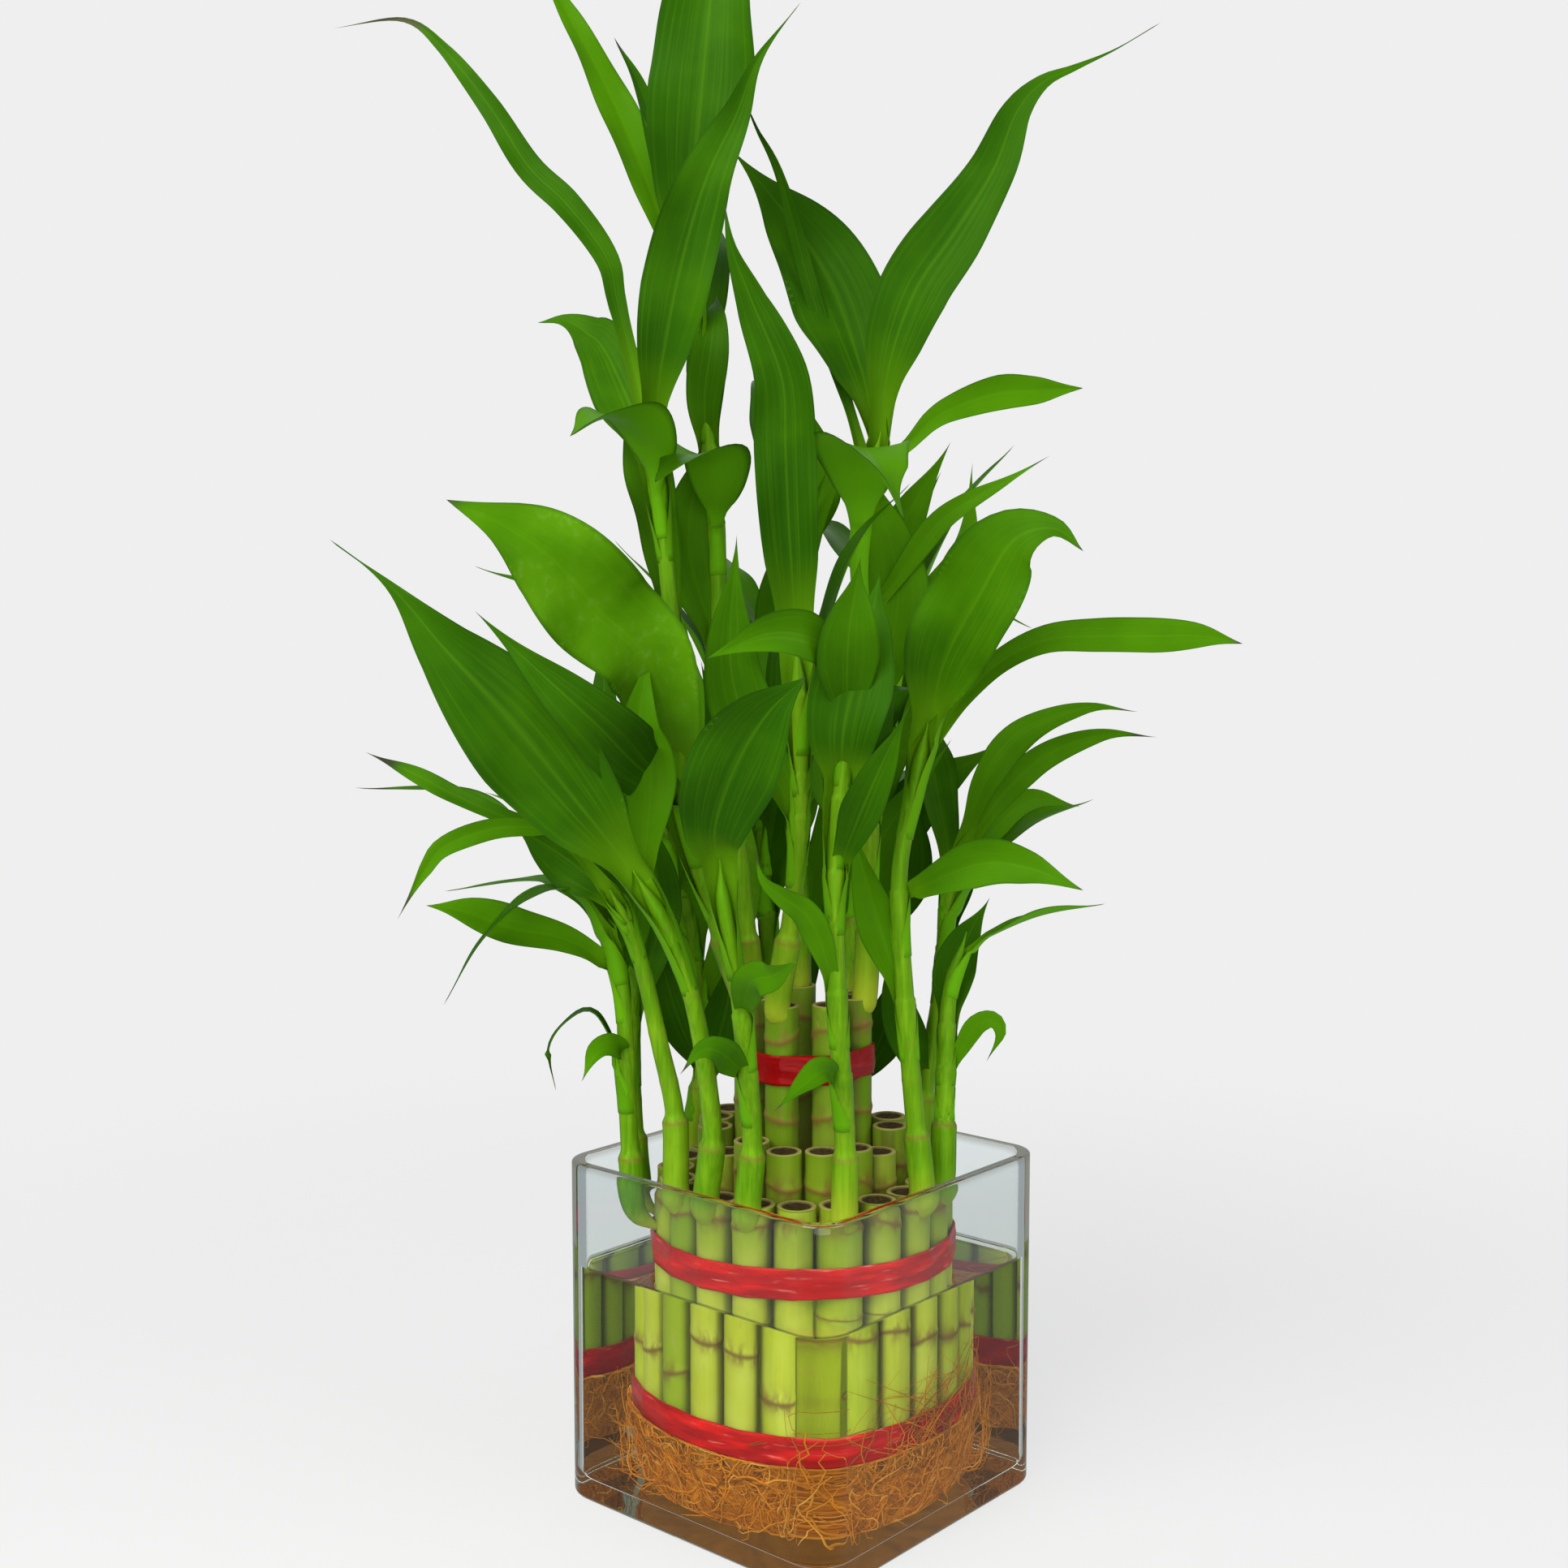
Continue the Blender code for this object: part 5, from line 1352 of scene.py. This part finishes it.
def root_radius(height):
    """How wide the mass of roots is at a height."""
    share = (height - VASE_BASE) / (ROOT_TOP - VASE_BASE)
    return ROOT_FLOOR_RADIUS + (ROOT_TOP_RADIUS - ROOT_FLOOR_RADIUS) * math.sqrt(max(share, 0.0))


def root_strand(bm, marks, points, radius, tone):
    """A fine root along the points, thinner towards its end."""
    points = [inside_glass(point, radius + STRAND_CLEARANCE) for point in points]
    radii = [radius * (1 - 0.75 * index / (len(points) - 1)) for index in range(len(points))]
    for ring in tube(bm, points, radii, 3):
        for point in ring:
            mark(point, marks, tone=tone)


def root_mass(bm, marks):
    """The matted bowl of roots that the strands lie on."""
    levels = [(share, ROOT_LOW) for share in (0.2, 0.6, 0.9)]
    levels += [(1.0, ROOT_LOW + (ROOT_TOP - ROOT_LOW) * step / ROOT_ROWS) for step in range(ROOT_ROWS + 1)]
    levels += [(share, ROOT_TOP) for share in (0.9, 0.6, 0.2)]
    rings = []
    for share, height in levels:
        ring = []
        for side in range(ROOT_SIDES):
            turn = 360 * side / ROOT_SIDES
            spot = compass(root_radius(height) * share, turn, height)
            rough = noise.fractal(spot * 160, 1.0, 2.0, 4) * ROOT_ROUGH * MM * (share == 1.0)
            spot += compass(rough, turn)
            ring.append(bm.verts.new(inside_glass(spot, ROOT_CLEARANCE)))
            mark(ring[-1], marks, tone=0.35 + 0.3 * noise.noise(spot * 300))
        rings.append(ring)
    loft(bm, rings)
    fan(bm, rings[0][::-1], bm.verts.new((0, 0, ROOT_LOW)))
    fan(bm, rings[-1], bm.verts.new((0, 0, ROOT_TOP)))


def matted_root(rng, angle, height, length, top):
    """The points of a root that curls over the mass, and over the canes' feet above it."""
    heading = rng.choice((0, math.pi)) + rng.gauss(0, 0.6)
    curl = rng.uniform(-0.3, 0.3)
    lift = rng.uniform(0.1, 2.2) * MM
    points = []
    for step in range(MAT_STEPS + 1):
        out = OUTER_EDGE + 0.7 * MM
        if height < ROOT_TOP:
            out = root_radius(height)
        points.append(compass(out + lift * math.sin(math.pi * step / MAT_STEPS), angle, height))
        heading += curl + rng.gauss(0, 0.3)
        angle += math.degrees(math.cos(heading) * length / MAT_STEPS / out)
        height = max(VASE_BASE + 2 * GAP, min(top, height + math.sin(heading) * length / MAT_STEPS))
    return points


def loose_root(rng):
    """The points of a root that wanders off from the mass, never below the vase's floor."""
    angle = rng.uniform(0, 360)
    start = compass(root_radius(ROOT_LOW) - MM, angle, rng.uniform(ROOT_LOW + MM, ROOT_TOP - 2 * MM))
    direction = compass(1, angle + rng.uniform(-70, 70), rng.uniform(-0.9, 0.5)).normalized()
    length = rng.uniform(10, 26) * MM
    points = [start]
    for _ in range(STRAND_STEPS):
        turn = Vector((rng.gauss(0, 1), rng.gauss(0, 1), rng.gauss(0, 0.6)))
        direction = (direction + 0.28 * turn).normalized()
        point = points[-1] + direction * length / STRAND_STEPS
        point.z = max(point.z, ROOT_LOW + 0.4 * MM)
        points.append(point)
    return points


def tuft_root(rng, toward):
    """The points of a root that bends up in a corner of the vase."""
    spread = rng.gauss(0, 9)
    start = compass(ROOT_FLOOR_RADIUS - 2 * MM, toward + spread, ROOT_LOW + rng.uniform(0.5, 6) * MM)
    top = rng.uniform(0.35, 1.0) * TUFT_TOP
    bend = start + compass(rng.uniform(9, 13) * MM, toward + spread / 2, 0)
    crown = compass(TUFT_REACH + rng.uniform(-3, 2) * MM, toward + rng.gauss(0, 4), top)
    waist = bend.lerp(crown, 0.5) + compass(rng.uniform(-1, 2) * MM, toward)
    points = smooth_line([start, bend, waist, crown], STRAND_STEPS)
    return [point + Vector([0.35 * MM * rng.gauss(0, 1) for _ in range(3)]) for point in points]


def rising_root(rng):
    """The points of a root that creeps up the outer canes, most often at the front right."""
    angle = rng.gauss(-38, 22)
    knots = [compass(OUTER_EDGE + 0.8 * MM, angle, ROOT_TOP - MM)]
    for step in range(1, 5):
        out = OUTER_EDGE + rng.uniform(1.0, 2.4) * MM
        turn = angle + rng.gauss(0, 5) * step
        knots.append(compass(out, turn, ROOT_TOP + step * rng.uniform(3, 7.5) * MM))
    return smooth_line(knots, STRAND_STEPS)


def make_roots(root):
    """A matted bowl of roots, loose strands wound over it, and tufts that rise in the vase's corners."""
    rng = random.Random(SEED)
    bm, marks = blank("tone")
    root_mass(bm, marks)
    for number in range(WOUND_ROOTS + COLLAR_ROOTS):
        height = rng.uniform(ROOT_LOW, ROOT_TOP)
        if number < COLLAR_ROOTS:
            height = rng.uniform(ROOT_TOP - 3 * MM, ROOT_TOP + 5 * MM)
        points = matted_root(rng, rng.uniform(0, 360), height, rng.uniform(10, 34) * MM, COLLAR_TOP)
        root_strand(bm, marks, points, rng.uniform(0.2, 0.55) * MM, rng.uniform(0.2, 1.0) ** 1.5)
    for _ in range(LOOSE_ROOTS):
        points = loose_root(rng)
        root_strand(bm, marks, points, rng.uniform(0.15, 0.32) * MM, rng.uniform(0.4, 1.0))
    for number in range(4 * TUFT_ROOTS):
        points = tuft_root(rng, 45 + 90 * (number // TUFT_ROOTS) - TURN_DEGREES)
        root_strand(bm, marks, points, rng.uniform(0.16, 0.34) * MM, rng.uniform(0.2, 1.0))
    for _ in range(RISING_ROOTS):
        points = rising_root(rng)
        root_strand(bm, marks, points, rng.uniform(0.15, 0.35) * MM, rng.uniform(0.0, 0.5))
    bm.transform(TURNED)
    fixture("root_tangle", bm, [root], "root", "roots")


# Shoots

def stem_line(shoot):
    """A shoot's stem as close points, from inside its cane. On an upper cane it starts nearer the middle."""
    tier = shoot.tier
    degrees = angle_of(tier, shoot.index)
    edge = tier.ring + tier.radius * (0.6 if tier == UPPER else 1.0)
    knots = [compass(edge - 1.5 * MM, degrees, tier.top - SIDE_DROP - 3 * MM)]
    if shoot.seat == "top":
        knots = [compass(edge - back * MM, degrees, tier.top + rise * MM) for back, rise in STEM_ROOTING]
    knots += in_metres(shoot.path)
    return smooth_line(knots, round(runs_of(knots)[-1] / STEM_STEP))


def grow_stem(bm, marks, rng, shoot, bases):
    """The stem: stout to its first joint, ringed by scars, and swollen by the sheath under each leaf."""
    points = stem_line(shoot)
    runs = runs_of(points)
    total = runs[-1]
    lowest = min(bases, default=points[-1].z)
    joints = [rng.uniform(*STEM_FIRST_JOINT) * MM]
    while joints[-1] < total - STEM_POINTED:
        joints.append(joints[-1] + rng.uniform(*STEM_JOINT_STEP) * MM)
    radii = []
    scars = []
    for point, run in zip(points, runs):
        slim = STEM_RADIUS + (STEM_TOP_RADIUS - STEM_RADIUS) * run / total
        radius = slim + (STEM_STOUT - slim) * (1 - eased(run, joints[0] - 2 * MM, joints[0] + 3 * MM))
        radius *= 0.4 + 0.6 * eased(run, 0, 8 * MM)
        if shoot.seat == "side":
            radius *= 0.6 + 0.4 * eased(run, 2 * MM, 16 * MM)
        near = 0.0
        for joint in joints:
            strength = 1.0 if joint == joints[0] else STEM_FAINT_JOINT
            if point.z > lowest:
                strength *= STEM_HIDDEN_JOINT
            near = max(near, strength * hump(run, joint, STEM_SCAR_WIDTH))
            radius += strength * STEM_RIDGE * MM * hump(run, joint, STEM_RIDGE_WIDTH)
        for base in bases:
            below = base + 2 * MM - point.z
            if 0 <= below < SHEATH_LENGTH:
                radius += STEM_RIDGE * MM * (1 - below / SHEATH_LENGTH)
        scars.append(near)
        radii.append(radius)
    points = [inside_glass(point, radius + 0.2 * MM) for point, radius in zip(points, radii)]
    tone = rng.uniform(0, 1)
    pointed = []
    for radius, run in zip(radii, runs):
        pointed.append(radius * (1 - 0.9 * eased(run, total - STEM_POINTED, total)))
    for ring, scar, run in zip(tube(bm, points, pointed, STEM_SIDES), scars, runs):
        for point in ring:
            mark(point, marks, ring=scar, along=run / total, tone=tone)
    return points, radii, runs


def leaf_width(share, neck, widest, slender):
    """The width of a leaf along its length, as a share of its widest: it runs out in a long thin tip."""
    if share < widest:
        rise = share / widest
        return neck + (1 - neck) * (0.45 * rise + 0.55 * rise * rise * (3 - 2 * rise))
    fall = (share - widest) / (1 - widest)
    return max(math.cos(fall * math.pi / 2) ** slender * (1 - 0.3 * eased(fall, 0.5, 0.92)), 0.012)


def leaf_sections(rng, stem, leaf, order, build):
    """Sections of a leaf from the foot of its sheath to its tip, and the length of its rib.

    The sheath clasps the stem, opens at its top and flares into the blade. A section is its share of the
    blade's length, its middle, the directions across it and out of its face, half its width, how sharply it
    is bent round, and how much of it is blade. The higher the order, the further out a sheath lies, so that
    those that overlap stay apart.
    """
    points, width, look = leaf
    neck = build["neck"]
    spots, radii, runs = stem
    base = min(range(len(spots)), key=lambda index: (spots[index] - points[0]).length)
    reach = min((0.45 * width + 10 * MM) * (1 + 3 * (neck - USUAL_LEAF["neck"])), runs[base] - 12 * MM)
    stalk = (spots[min(base + 2, len(spots) - 1)] - spots[base - 2]).normalized()
    face = leaf_frame(points, look, 0.0)[2]
    front = (face - stalk * face.dot(stalk)).normalized()
    beside = stalk.cross(front)
    snug = radii[base] + (0.2 + 0.1 * order) * MM
    mouth = snug * (1 + 4 * (neck - USUAL_LEAF["neck"]))
    opened = min(1.9 * mouth, 0.22 * width + 1.6 * MM)
    twist = math.radians(rng.uniform(-1, 1) * (24 if width > 15 * MM else 42))
    sections = []
    steps = max(3, round(reach / SHEATH_STEP)) if reach > 3 * MM else 0
    for step in range(steps):
        share = step / steps
        run = runs[base] - reach * (1 - share)
        index = min(range(len(runs)), key=lambda number: abs(runs[number] - run))
        tight = radii[index] + (-0.1 + (0.3 + 0.1 * order) * share) * MM
        half = tight * 2.95 * (1 - share) + opened * share
        bend = 1 / (tight + (mouth - snug) * share ** 1.2)
        sections.append((-0.2 * (1 - share), spots[index] - front * tight, beside, front, half, bend, 0.0))
    length = runs_of(points)[-1]
    rows = 12 + round(length / BLADE_STEP)
    for row in range(rows):
        share = row / rows
        rib, across, face = leaf_frame(points, look, share, twist)
        blend = eased(share, 0.0, 0.2)
        facing = eased(share, 0.0, 0.13)
        half = width / 2 * leaf_width(share, neck, build["widest"], build["slender"])
        cup = 0.9 - 0.65 * eased(share, 0.0, 0.3)
        bend = (1 - blend) / mouth + blend * cup / max(half, MM)
        half = opened * (1 - blend) + half * blend
        across = (beside * (1 - facing) + across * facing).normalized()
        face = (front * (1 - facing) + face * facing).normalized()
        rib += (spots[base] - points[0]) * (1 - blend)
        sections.append((share, rib - face * snug * (1 - blend), across, face, half, bend, blend))
    return sections, length


def grow_leaf(bm, marks, rng, stem, leaf, order, **changes):
    """A leaf as a thin closed shell: clasping at its foot, folded along its rib and waved at its edges."""
    build = {**USUAL_LEAF, **changes}
    sections, length = leaf_sections(rng, stem, leaf, order, build)
    waves = []
    for _ in range(2):
        waves.append((rng.uniform(0.05, 0.13), length / (rng.uniform(26, 48) * MM), rng.uniform(0, 6.28)))
    fold = rng.uniform(0.08, 0.22)
    chance = rng.random()
    tone = build.get("tone", chance)
    rows = []
    for share, rib, across, face, half, bend, blade in sections:
        thick = LEAF_HALF_THICK * (1.3 - 0.9 * max(share, 0))
        upper = []
        lower = []
        for column in range(LEAF_COLUMNS + 1):
            side = 2 * column / LEAF_COLUMNS - 1
            swing, pace, phase = waves[side > 0]
            wave = swing * side * side * math.sin(2 * math.pi * pace * share + phase)
            wave *= eased(share, 0.1, 0.35)
            turn = bend * half * side
            flat = math.sin(turn) / bend
            lift = (1 - math.cos(turn)) / bend + half * (abs(side) * fold * blade + 1.6 * wave)
            middle = rib + across * flat + face * lift
            normal = face * math.cos(turn) - across * math.sin(turn)
            depth = normal * thick * math.sqrt(max(1 - side * side, 0.0))
            upper.append(bm.verts.new(middle + depth))
            lower.append(upper[-1] if abs(side) == 1 else bm.verts.new(middle - depth))
            mark(lower[-1], marks, along=share, across=side, under=1.0)
            mark(upper[-1], marks, along=share, across=side, under=0.0)
        rows.append((upper, lower))
    tip = bm.verts.new(smooth(leaf[0], 1.0))
    mark(tip, marks, along=1.0)
    first_upper, first_lower = rows[0]
    last_upper, last_lower = rows[-1]
    made = []
    for column in range(LEAF_COLUMNS):
        after = column + 1
        for (upper, lower), (upper_on, lower_on) in zip(rows, rows[1:]):
            made.append(bm.faces.new((upper[column], upper[after], upper_on[after], upper_on[column])))
            made.append(bm.faces.new((lower[after], lower[column], lower_on[column], lower_on[after])))
        made.append(bm.faces.new((last_upper[column], last_upper[after], tip)))
        made.append(bm.faces.new((last_lower[after], last_lower[column], tip)))
        foot = (first_lower[column], first_lower[after], first_upper[after], first_upper[column])
        made.append(bm.faces.new(list(dict.fromkeys(foot))))
    for point in [point for upper, _ in rows for point in (upper[0], upper[-1])]:
        for edge in point.link_edges:
            edge.smooth = abs(edge.other_vert(point)[marks["across"]]) < 1
    for face in made:
        face.material_index = 1
        for point in face.verts:
            mark(point, marks, tone=tone, dry=build["dry"])


def make_shoots(stem, leaf):
    """Every shoot: its stem, the leaves that the solids have too, and small ones close to the stem."""
    rng = random.Random(SEED + 2)
    stems, leaves = settle_leaves()
    for name, shoot in SHOOTS.items():
        bm, marks = blank("along", "across", "tone", "dry", "under", "ring")
        builds = LEAF_BUILDS.get(name, {})
        reshaped = RESHAPED.get(name, {})
        grown = grow_stem(bm, marks, rng, shoot, [item[0][0].z for item in leaves[name]])
        for index, item in enumerate(leaves[name]):
            dry = rng.uniform(0.0, 0.03)
            if item[1] < NARROW_LEAF:
                dry = rng.uniform(0.04, 0.12)
            if index in reshaped:
                width, look, *points = reshaped[index]
                item = listed_leaf(item[0][0], width, look, points)
            grow_leaf(bm, marks, rng, grown, item, index % 4, **{"dry": dry, **builds.get(index, {})})
        for index, (height, width, look, *points) in enumerate(MORE_LEAVES.get(name, [])):
            item = listed_leaf(at_height(stems[name], height * MM), width, look, points)
            grow_leaf(bm, marks, rng, grown, item, index % 4, **builds[MORE_FROM + index])
        bm.normal_update()
        bm.transform(TURNED)
        fixture("leafy_shoot_" + name, bm, [stem, leaf], "leaf", "shoot_" + name)


# Studio

def lamp(name, spot, aim, size, watts, colour):
    data = bpy.data.lights.new(name, "AREA")
    data.shape = "RECTANGLE"
    data.size, data.size_y = size
    data.energy = watts
    data.color = colour
    light = bpy.data.objects.new(name, data)
    bpy.context.scene.collection.objects.link(light)
    light.location = TURNED @ Vector(spot)
    light.rotation_euler = (TURNED @ Vector(aim) - light.location).to_track_quat("-Z", "Y").to_euler()


def make_table():
    """A pale paper floor that runs out into the pale backdrop."""
    paper = Finish("paper", {"Roughness": 0.9, "Specular IOR Level": 0.0, "Emission Color": PAPER,
                             "Emission Strength": FLOOR_GLOW})
    grain = paper.clouds(paper.place(), 90.0, 3.0)
    reach = paper.node("VectorMath", {"operation": "LENGTH"}, {0: paper.place()}, "Value")
    paper.put({"Base Color": paper.mixed(grain * 0.2, FLOOR_PALE, FLOOR_GRAIN),
               "Alpha": reach.ramp(*FLOOR_FADE, 1.0, 0.0)})
    mirrored = paper.ray("Glossy Depth").math("MINIMUM", 1.0)
    paper.surface(mirrored, paper.body, paper.node("BsdfTransparent", {}, {}))
    bm = bmesh.new()
    bmesh.ops.create_circle(bm, cap_ends=True, segments=96, radius=FLOOR_RADIUS)
    data = bpy.data.meshes.new("paper_floor")
    bm.to_mesh(data)
    bm.free()
    data.materials.append(paper.material)
    floor = bpy.data.objects.new("paper_floor", data)
    floor.location.z = -GAP
    bpy.context.scene.collection.objects.link(floor)


def light_world(scene):
    """Even pale light, with a shade of its own for each kind of ray in STUDIO_SHADES."""
    scene.world = bpy.data.worlds.new("studio")
    scene.world.use_nodes = True
    graph = Graph(scene.world.node_tree)
    shade = STUDIO_LIGHT
    clamped = {"operation": "SUBTRACT", "use_clamp": True}
    for ray, beyond, colour in STUDIO_SHADES:
        past = graph.node("Math", clamped, {0: graph.ray(ray), 1: beyond})
        shade = graph.mixed(past, shade, colour)
    graph.join(shade, graph.tree.nodes["Background"].inputs["Color"])


def make_studio():
    scene = bpy.context.scene
    light_world(scene)
    for name, lit in LAMPS.items():
        lamp(name, *lit)
    eye = bpy.data.cameras.new("eye")
    eye.lens = CAMERA_FOCAL
    eye.sensor_width = 36
    eye.clip_start = 0.01
    camera = bpy.data.objects.new("eye", eye)
    camera.location = TURNED @ CAMERA_SPOT
    camera.rotation_euler = (math.pi / 2 - CAMERA_PITCH, 0, BUNCH_TURN)
    scene.collection.objects.link(camera)
    scene.camera = camera
    scene.view_settings.view_transform = "Standard"
    scene.view_settings.look = "None"


def main():
    make_vase(clear_finish("glass", GLASS_TINT, GLASS_REFRACTION, GLASS_MURK, GLASS_DENSITY, GLASS_IN_WATER))
    make_water(clear_finish("water", WATER_TINT, WATER_REFRACTION, WATER_MURK, WATER_DENSITY, WATER_IN_GLASS))
    make_roots(root_finish())
    make_canes(cane_finish())
    satin = ribbon_finish()
    for node, (tier, low) in RIBBONS.items():
        tie_ribbon(satin, node, tier, low)
    make_shoots(stem_finish(), leaf_finish())
    make_table()
    make_studio()


main()
